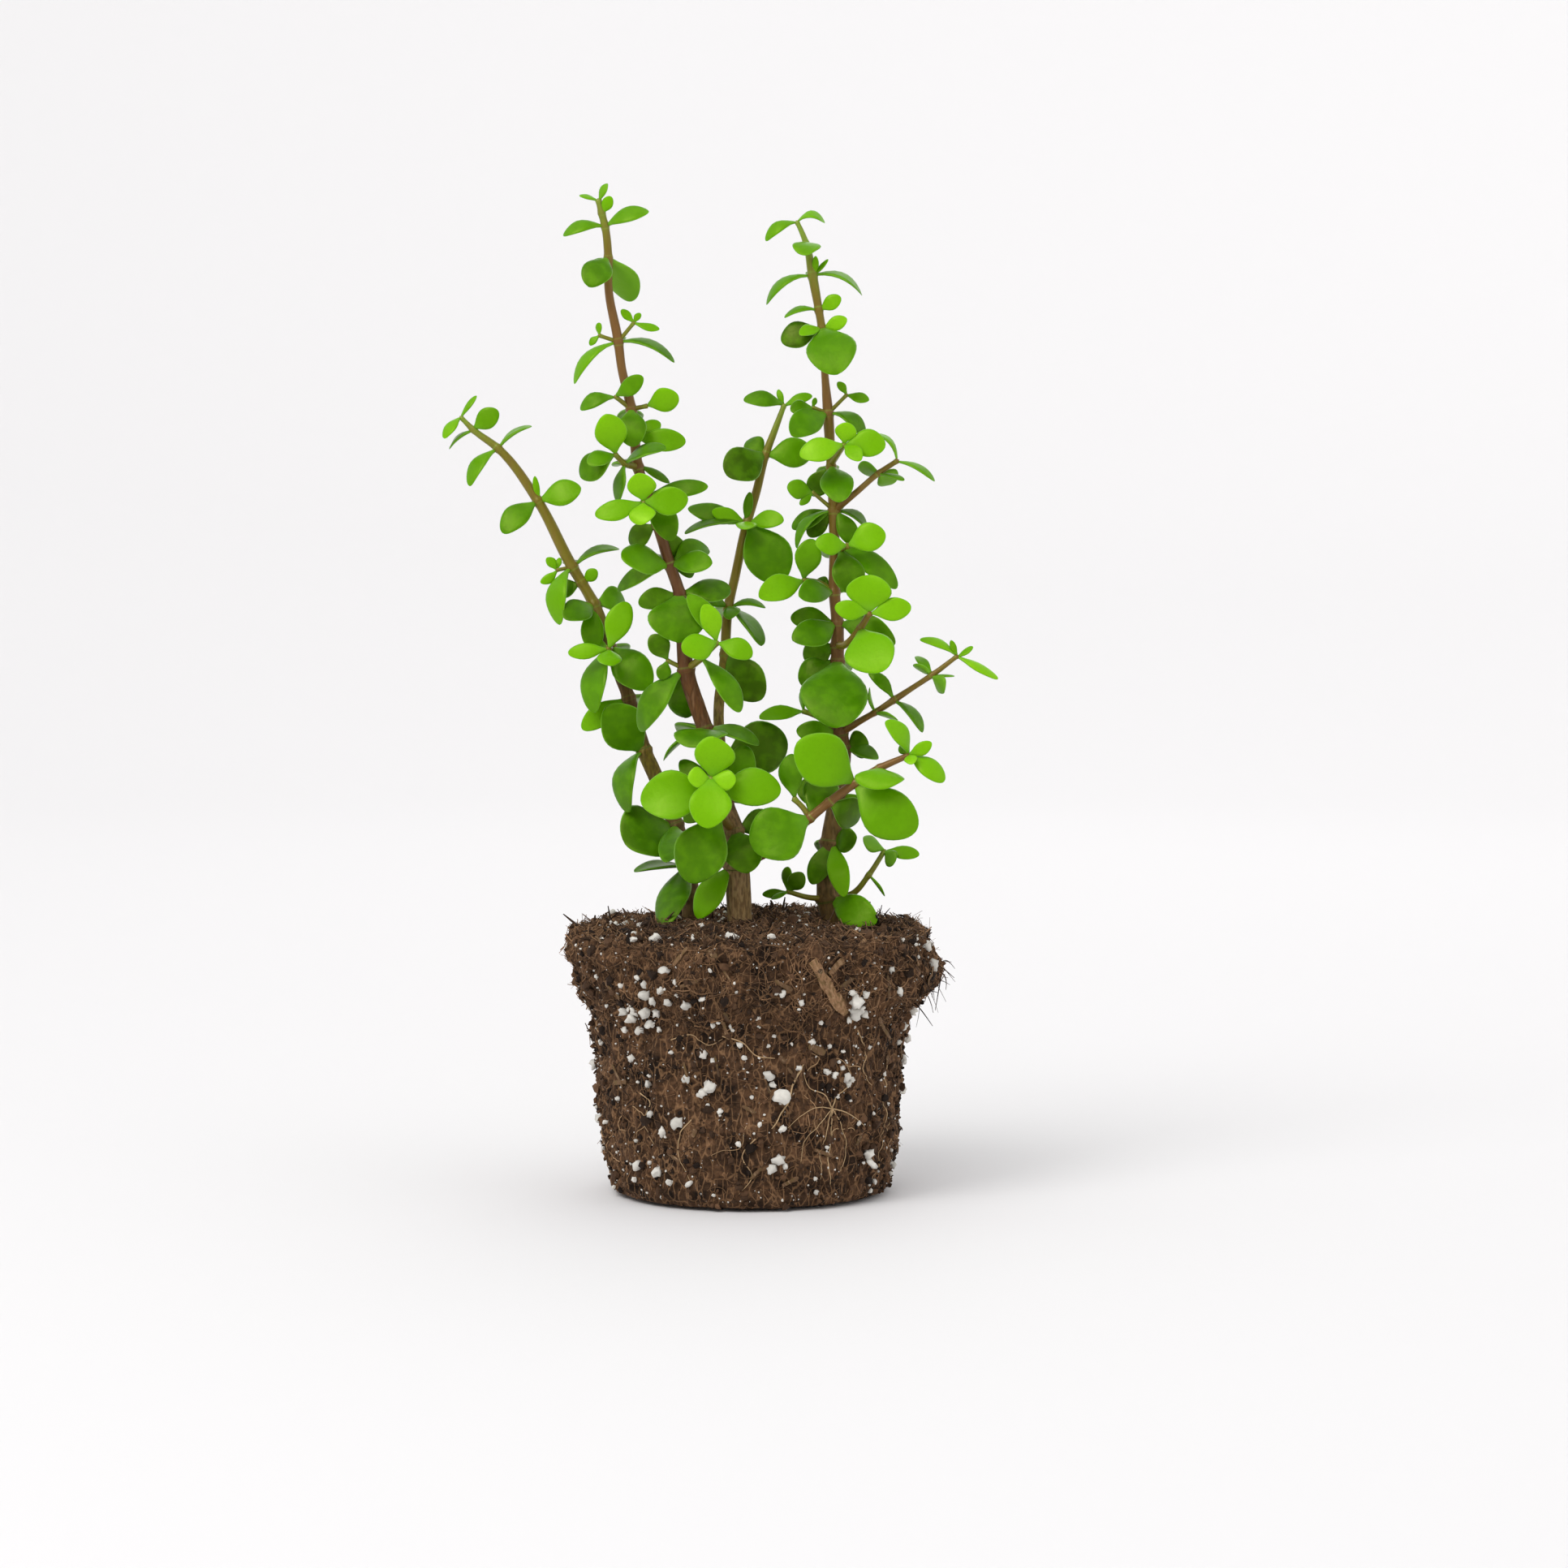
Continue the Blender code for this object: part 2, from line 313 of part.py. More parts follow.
# Surfaces: colour and roughness.
SURFACES = {
    "soil": ((0.105, 0.056, 0.03), 0.95),
    "old_stem": ((0.12, 0.077, 0.03), 0.7),
    "young_stem": ((0.18, 0.2, 0.024), 0.5),
    "red_stem": ((0.2, 0.09, 0.03), 0.5),
    "leaf": ((0.09, 0.24, 0.01), 0.35),
}
STEM_SURFACE = {
    "trunk": "old_stem", "stem_left": "old_stem", "stem_right": "old_stem",
    "stem_middle": "old_stem", "stem_right_middle": "old_stem", "branch_red": "red_stem",
}


def clear_scene():
    """Remove everything the file opened with."""
    for thing in list(bpy.data.objects):
        bpy.data.objects.remove(thing, do_unlink=True)


def new_collection(name):
    """A collection linked to the scene."""
    collection = bpy.data.collections.new(name)
    bpy.context.scene.collection.children.link(collection)
    return collection


def make_surface(name, colour, roughness):
    """A plain Principled material."""
    surface = bpy.data.materials.new(name)
    surface.use_nodes = True
    shader = surface.node_tree.nodes["Principled BSDF"]
    shader.inputs["Base Color"].default_value = (*colour, 1.0)
    shader.inputs["Roughness"].default_value = roughness
    surface.diffuse_color = (*colour, 1.0)
    return surface


def add_object(name, mesh, collection, surface):
    """Put a mesh in a collection as an object of its own."""
    thing = bpy.data.objects.new(name, mesh)
    collection.objects.link(thing)
    if surface is not None:
        mesh.materials.clear()
        mesh.materials.append(surface)
    return thing


def as_cutter(thing):
    """Mark a Boolean operand: never rendered, drawn as wire."""
    thing.hide_render = True
    thing.display_type = "WIRE"
    return thing


def boolean(thing, operand, operation):
    """Add an exact Boolean with one operand."""
    step = thing.modifiers.new(operand.name, "BOOLEAN")
    step.operation = operation
    step.solver = "EXACT"
    step.material_mode = "TRANSFER"
    step.object = operand


def finish_shape(shape, mesh):
    """Turn the faces outwards, split them flat for the Booleans and shade them smooth."""
    bmesh.ops.recalc_face_normals(shape, faces=shape.faces)
    bmesh.ops.triangulate(shape, faces=shape.faces)
    shape.to_mesh(mesh)
    shape.free()
    mesh.shade_smooth()


def mesh_from_faces(name, points, faces):
    """A closed mesh, smooth shaded, with its faces turned outwards."""
    mesh = bpy.data.meshes.new(name)
    mesh.from_pydata([Vector(p) * MM for p in points], [], faces)
    shape = bmesh.new()
    shape.from_mesh(mesh)
    finish_shape(shape, mesh)
    return mesh


def tube_mesh(name, route):
    """A round stem along a route of (x, y, z, radius), with closed ends."""
    curve = bpy.data.curves.new(name, "CURVE")
    curve.dimensions = "3D"
    curve.bevel_depth = MM
    curve.bevel_resolution = 2 if route[0][3] > THIN_STEM else 1
    curve.use_fill_caps = True
    spline = curve.splines.new("POLY")
    spline.points.add(len(route) - 1)
    for point, (x, y, z, radius) in zip(spline.points, route):
        point.co = (x * MM, y * MM, z * MM, 1.0)
        point.radius = radius
    holder = bpy.data.objects.new(name, curve)
    mesh = bpy.data.meshes.new_from_object(holder)
    bpy.data.objects.remove(holder)
    bpy.data.curves.remove(curve)
    shape = bmesh.new()
    shape.from_mesh(mesh)
    bmesh.ops.remove_doubles(shape, verts=shape.verts, dist=0.00002)
    finish_shape(shape, mesh)
    return mesh


def leaf_mesh(name, base, tip, width, face, bow, around):
    """A blade lofted from base to tip.

    The centre line is base + d*L*t + n*bow*L*4t(1-t), with d the way the leaf points
    and n the way its upper face looks. The half width grows from a narrow foot to its
    full size at 0.64 of the length and closes in a round tip.
    """
    length = (tip - base).length
    along = (tip - base).normalized()
    up = Vector(face)
    up = (up - along * up.dot(along)).normalized()
    side = along.cross(up)
    thickness = min(LEAF_THICKNESS, 0.32 * width)
    if around == 4:
        stations = ((0.0, 0.16, 0.6), (0.3, 0.55, 0.9), (0.62, 1.0, 1.0), (0.88, 0.72, 0.7))
        ring = ((1, 0), (0, 0.45), (-1, 0), (0, -0.55))
    else:
        stations = ((0.0, 0.16, 0.6), (0.22, 0.42, 0.8), (0.45, 0.86, 1.0), (0.66, 1.0, 1.0),
                    (0.88, 0.7, 0.7))
        ring = ((1, 0), (0.5, 0.36), (-0.5, 0.36), (-1, 0), (-0.5, -0.52), (0.5, -0.52))
    points = []
    for t, spread, depth in stations:
        centre = base + along * (length * t) + up * (bow * length * 4 * t * (1 - t))
        for across, above in ring:
            points.append(centre + side * (across * spread * width / 2)
                          + up * (above * depth * thickness))
    points.append(tip)
    faces = [tuple(range(around))]
    last = len(stations) - 1
    for row in range(last):
        for step in range(around):
            turn = (step + 1) % around
            faces.append((row * around + step, row * around + turn,
                          (row + 1) * around + turn, (row + 1) * around + step))
    for step in range(around):
        turn = (step + 1) % around
        faces.append((last * around + step, last * around + turn, len(points) - 1))
    return mesh_from_faces(name, points, faces)


def stem_point(route, place):
    """A route point's centre, the way the stem runs there and its radius."""
    before = Vector(route[max(place - 1, 0)][:3])
    after = Vector(route[min(place + 1, len(route) - 1)][:3])
    return Vector(route[place][:3]), (after - before).normalized(), route[place][3]


def sideways(way, axis):
    """The part of a direction that leaves the stem squarely."""
    return (way - axis * way.dot(axis)).normalized()


def leant(name, point):
    """A planned point (x, y, z), moved back or forward with the stem it belongs to."""
    while name in SHOOTS:
        name = SHOOTS[name][0]
    stem = LEANS_WITH.get(name, name)
    x, y, z = point[:3]
    return Vector((x, y + LEAN[stem] * max(z - LEAN_FROM, 0), z))


def shoot_route(name):
    """Full route of a stem or shoot, started clear of its carrier if it is separate."""
    if name in STEMS:
        return tuple((*leant(name, row), row[3]) for row in STEMS[name])
    parent, place, separate, rest = SHOOTS[name]
    rest = tuple((*leant(name, row), row[3]) for row in rest)
    start, axis, radius = stem_point(shoot_route(parent), place)
    thickness = rest[0][3]
    out = sideways(Vector(rest[0][:3]) - start, axis)
    start += out * (radius + NODE_GAP + 0.5 * thickness if separate else 0.3 * radius)
    return ((*start, thickness), *rest)


def carrier_of(name):
    """The object that a stem or shoot is part of."""
    while name in SHOOTS and not SHOOTS[name][2]:
        name = SHOOTS[name][0]
    return name


def build_ball(part, cutters, surfaces):
    """Turn the root ball and cut a socket for each buried stem."""
    count = len(BALL_PROFILE)
    outline = bpy.data.meshes.new("root_ball")
    outline.from_pydata([(r * MM, 0.0, z * MM) for r, z in BALL_PROFILE],
                        [(i, i + 1) for i in range(count - 1)], [])
    ball = add_object("root_ball", outline, part, surfaces["soil"])
    turn = ball.modifiers.new("turn", "SCREW")
    turn.steps = BALL_STEPS
    turn.render_steps = BALL_STEPS
    turn.use_merge_vertices = True
    turn.merge_threshold = 0.00001
    turn.use_normal_calculate = True
    turn.use_smooth_shade = False
    for name, route in STEMS.items():
        x, y, z, radius = route[0]
        if z > BALL_PROFILE[-1][1]:
            continue
        foot = (x, y, SOCKET_FLOOR, radius + SOCKET_GAP + 0.2)
        top = (route[1][0], route[1][1], route[1][2] + 8, radius + SOCKET_GAP + 0.2)
        hole = add_object(name + "_socket", tube_mesh(name + "_socket", (foot, top)), cutters, None)
        boolean(ball, as_cutter(hole), "DIFFERENCE")


def build_plant(part, cutters, surfaces):
    """Build the stems, the shoots and every leaf."""
    carriers = {}
    for name in (*STEMS, *SHOOTS):
        surface = surfaces[STEM_SURFACE.get(name, "young_stem")]
        mesh = tube_mesh(name, shoot_route(name))
        if carrier_of(name) == name:
            carriers[name] = add_object(name, mesh, part, surface)
        else:
            twig = add_object(name, mesh, cutters, surface)
            boolean(carriers[carrier_of(name)], as_cutter(twig), "UNION")
    for name, rows in LEAVES.items():
        route = shoot_route(name)
        for number, (place, tip, width, face, bow) in enumerate(rows, start=1):
            label = f"leaf_{name}_{number:02d}"
            base, axis, radius = stem_point(route, place)
            tip = leant(name, tip)
            out = sideways(tip - base, axis)
            if place == len(route) - 1:
                base -= axis * END_INSET
            if width >= OWN_LEAF_WIDTH:
                base += out * (radius + NODE_GAP + 0.3)
                mesh = leaf_mesh(label, base, tip, width, face, bow, 6)
                add_object(label, mesh, part, surfaces["leaf"])
            else:
                base += out * (0.4 * radius)
                mesh = leaf_mesh(label, base, tip, width, face, bow, 4)
                blade = add_object(label, mesh, cutters, surfaces["leaf"])
                boolean(carriers[carrier_of(name)], as_cutter(blade), "UNION")


def main():
    """Build the whole plant."""
    clear_scene()
    part = new_collection("part")
    cutters = new_collection("cutters")
    surfaces = {name: make_surface(name, *look) for name, look in SURFACES.items()}
    build_ball(part, cutters, surfaces)
    build_plant(part, cutters, surfaces)


main()
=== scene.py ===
"""Jade plant with a bare root ball: leaves, stems, soil, perlite, fibres and roots.

Everything is laid out in millimetres, and meshes are made in metres. +Z is up and
the front is -Y. Shapes are numpy grids: a blade lofted along a bowed line, a profile
carried along a route, or a turned and roughened surface.
"""
import math

import bpy
import numpy as np
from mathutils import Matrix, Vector


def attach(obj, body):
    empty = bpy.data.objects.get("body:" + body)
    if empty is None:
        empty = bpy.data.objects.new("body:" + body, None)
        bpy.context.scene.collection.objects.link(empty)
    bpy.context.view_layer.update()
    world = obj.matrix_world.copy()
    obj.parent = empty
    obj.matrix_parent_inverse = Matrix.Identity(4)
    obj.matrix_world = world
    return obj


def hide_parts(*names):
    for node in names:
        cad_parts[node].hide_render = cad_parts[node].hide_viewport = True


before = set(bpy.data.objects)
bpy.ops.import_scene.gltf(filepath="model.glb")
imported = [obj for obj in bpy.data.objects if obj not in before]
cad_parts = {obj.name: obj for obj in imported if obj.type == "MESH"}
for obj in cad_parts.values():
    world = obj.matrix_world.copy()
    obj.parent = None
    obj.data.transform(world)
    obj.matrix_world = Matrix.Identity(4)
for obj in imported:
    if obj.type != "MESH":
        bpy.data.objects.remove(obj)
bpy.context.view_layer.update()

bl_info = {
    "name": "Jade plant and root ball",
    "version": (1, 0, 0),
    "blender": (4, 5, 0),
    "location": "3D View > Sidebar > Plant",
    "description": "Builds a jade plant with its root ball out of the pot",
    "category": "Object",
}

MM = 0.001
OWN_LEAF_WIDTH = 10.0      # leaves at least this wide are pieces of their own

# The stage, in metres, degrees and watts.
CAMERA_PLACE = (0.01092, -1.38287, 0.22702)
CAMERA_TILT = 86
CAMERA_LENS = 100
FLOOR_COLOUR = (0.84, 0.83, 0.83, 1)
FLOOR_RADIUS = 5.0
FLOOR_RINGS = 60
FLOOR_SIDES = 96
# Each lamp's name, place, size and power.
LAMPS = (
    ("key", (-0.75, -0.9, 1.15), 0.6, 5), ("fill", (1.4, -1.0, 0.9), 1.2, 2),
    ("back", (0.3, 1.4, 1.3), 1.2, 3),
)
LAMP_AIM = (0, 0, 0.16)
SUN_WAY = (0.42, 0.6, -0.7)
SUN_POWER = 1.25
SUN_SPREAD = 50
SKY_COLOUR = (0.9, 0.9, 0.91, 1)
SKY_POWER = 0.8

# How finely the ball and its loose parts are made.
OUTLINE_POINTS = 600
SKIN_TURNS = 384           # points round the ball
SKIN_RINGS = 250           # rings from its base to its top
FIBRE_RINGS = 6
FIBRE_SIDES = 3
BIT_RINGS = 7
BIT_SIDES = 5
CHIP_RINGS = 8
CHIP_SIDES = 8
ROOT_RINGS = 22
ROOT_SIDES = 6

# The random parts of the ball, besides those that the settings count.
TOP_BITS = 220
HANGING_BITS = 30
LOOSE_GRAINS = 120         # tried, of which those far behind are left out
LOOSE_CHIPS = 90
LOOSE_ROOTS = 30
LIP_FOOT = 60.0            # the height where the ball's side turns out to the lip
TOP_EDGE = 81.0            # the height where the soil's top begins

# Bark.
STEM_SEED = 60
SHOOT_SEED = 80
WOODY_BELOW = 190          # the height where the last of the woody bark ends
SLOW_ALONG = (1.0, 1.0, 0.25)

# Stems, each a route from foot to tip: (x, y, z, radius) in millimetres.
STEMS = {
    "stem_left": (
        (-18, 12, 62, 3.0), (-19, 12, 86, 2.9), (-20, 12, 103, 2.7), (-24, 11, 116, 2.6),
        (-30, 9, 131, 2.5), (-34, 8, 140, 2.4), (-39, 6, 157, 2.1), (-45, 4, 173, 2.0),
    ),
    "stem_left_top": (
        (-45, 4, 174, 1.9), (-50, 2, 187, 1.9), (-54, 2, 194, 1.7), (-57, 1, 199, 1.8),
        (-68, 0, 220, 1.6), (-81, 0, 237, 1.3), (-89, 0, 243, 1.0), (-93, 0, 247, 0.7),
    ),
    "trunk": (
        (-3, -8, 62, 4.2), (-3, -8, 84, 4.0), (-4, -8, 105, 3.8), (-5, -8, 116, 3.1),
        (-8, -6, 125, 2.9), (-14, -4, 148, 2.6), (-20, -3, 167, 2.5),
    ),
    "stem_middle": (
        (-20, -3, 169, 2.4), (-21, -3, 180, 2.2), (-22, -3, 191, 1.9), (-25, -3, 200, 1.8),
        (-29, -3, 213, 1.7), (-32, -3, 222, 1.7), (-35, -3, 231, 1.7), (-36, -3, 240, 1.6),
        (-37, -3, 249, 1.6),
    ),
    "stem_middle_top": (
        (-37, -3, 251.5, 1.5), (-40, -3, 262, 1.4), (-41, -3, 270, 1.5), (-44, -3, 287, 1.3),
        (-44, -3, 296, 1.3), (-45, -3, 306, 1.2), (-46, -3, 310, 1.1), (-47, -3, 314, 0.9),
    ),
    "stem_back": (
        (-7, -1, 124, 1.6), (-9, 1, 138, 1.7), (-10, 2, 152, 1.7), (-8, 6, 171, 1.6),
        (-7, 8, 186, 1.6), (-5, 9, 195, 1.5), (-1, 10, 213, 1.5), (2, 11, 223, 1.4),
        (5, 11, 235, 1.3), (8, 11, 243, 1.1), (11, 11, 251, 0.8),
    ),
    "stem_right": (
        (26, 6, 62, 3.6), (26, 6, 88, 3.6), (25, 6, 93, 3.5), (26, 6, 111, 3.3),
        (28, 6, 127, 2.6), (30, 6, 141, 2.3), (29, 6, 146, 2.3), (28, 6, 158, 2.1),
    ),
    "stem_right_middle": (
        (28, 6, 159, 2.1), (28, 6, 169, 2.1), (28, 6, 174, 2.1), (28, 6, 181, 2.0),
        (27, 6, 191, 1.8),
        (27, 6, 205, 1.6), (27, 6, 217, 1.9), (26, 5, 231, 1.5),
    ),
    "stem_right_top": (
        (26, 5, 232, 1.5), (25, 5, 248, 1.7), (24, 4, 260, 1.2), (23, 4, 275, 1.3),
        (22, 4, 281, 1.3), (20, 4, 292, 1.5), (18, 4, 302, 1.0), (16, 4, 307, 0.8),
        (15, 4, 309, 0.7),
    ),
}

# Shoots: the stem or shoot that carries it, the number of the route point there, whether it
# is an object of its own, and the rest of its route.
SHOOTS = {
    "branch_red": ("trunk", 2, True, (
        (8, -11, 111, 1.6), (19, -18, 121, 1.5), (25, -19, 126, 1.4), (33, -20, 132, 1.4),
        (41, -21, 137, 1.2), (50, -21, 141, 0.9))),
    "shoot_red_leaf": ("branch_red", 2, False, ((17, -17, 124, 0.9), (14, -16, 127, 0.9))),
    "shoot_left_bud": ("stem_left_top", 3, False, ((-62, 0, 198, 0.6),)),
    "shoot_left": ("stem_left", 7, True, ((-45, -2, 173, 1.1), (-45, -6, 173, 0.9))),
    "shoot_trunk_front": ("trunk", 3, True, (
        (-9, -15, 122, 1.4), (-11, -19, 129, 1.3), (-12, -22, 134, 1.1))),
    "shoot_trunk_left": ("trunk", 6, False, ((-26, -4, 170, 0.7),)),
    "shoot_trunk_right": ("trunk", 6, True, ((-15, -8, 171, 1.1), (-10, -11, 176, 0.9))),
    "shoot_middle_front": ("stem_middle", 4, True, ((-33, -14, 220, 1.0),)),
    "shoot_middle_left": ("stem_middle", 6, True, ((-39, -8, 232, 1.0), (-42, -11, 235, 0.8))),
    "shoot_middle_tip_a": ("stem_middle", 8, False, ((-42, -5, 253, 0.7),)),
    "shoot_middle_tip_b": ("stem_middle", 8, False, ((-32, -5, 250, 0.7),)),
    "shoot_top_left": ("stem_middle_top", 2, False, ((-47, -4, 272, 0.6),)),
    "shoot_top_right": ("stem_middle_top", 2, False, ((-36, -4, 276, 0.6),)),
    "shoot_foot_left": ("stem_right", 2, True, ((18, 2, 94, 0.9), (12, 0, 96, 0.8))),
    "shoot_foot_right": ("stem_right", 2, True, (
        (33, 4, 95, 1.0), (38, 2, 101, 0.9), (43, 0, 109, 0.8))),
    "shoot_right_long": ("stem_right", 6, True, (
        (35, 2, 150, 1.1), (40, 0, 153, 1.0), (46, -1, 157, 1.1), (52, -2, 161, 0.9),
        (58, -3, 165, 0.9), (66, -3, 171, 0.7))),
    "shoot_right_back": ("stem_right", 6, True, ((22, 8, 151, 0.9), (17, 8, 153, 0.8))),
    "shoot_right_front": ("stem_right_middle", 2, True, (
        (31, -3, 175, 1.2), (35, -9, 180, 1.1), (38, -13, 185, 1.0))),
    "shoot_right_left": ("stem_right_middle", 4, True, ((22, 6, 194, 1.0), (17, 4, 195, 0.9))),
    "shoot_right_near": ("stem_right_middle", 5, True, ((29, -1, 205, 1.0), (31, -6, 206, 0.9))),
    "shoot_right_arm": ("stem_right_middle", 6, True, (
        (34, -1, 223, 1.0), (41, -2, 229, 0.9), (47, -3, 233, 0.8))),
    "shoot_right_bud": ("stem_right_middle", 6, False, ((20, 2, 223, 0.6),)),
    "shoot_right_rosette": ("stem_right_top", 0, True, ((28, -1, 235, 1.0), (30, -7, 238, 0.9))),
    "shoot_right_tip_a": ("stem_right_top", 1, False, ((31, 3, 254, 0.6),)),
    "shoot_right_tip_b": ("stem_right_top", 1, False, ((20, 2, 250, 0.6),)),
}

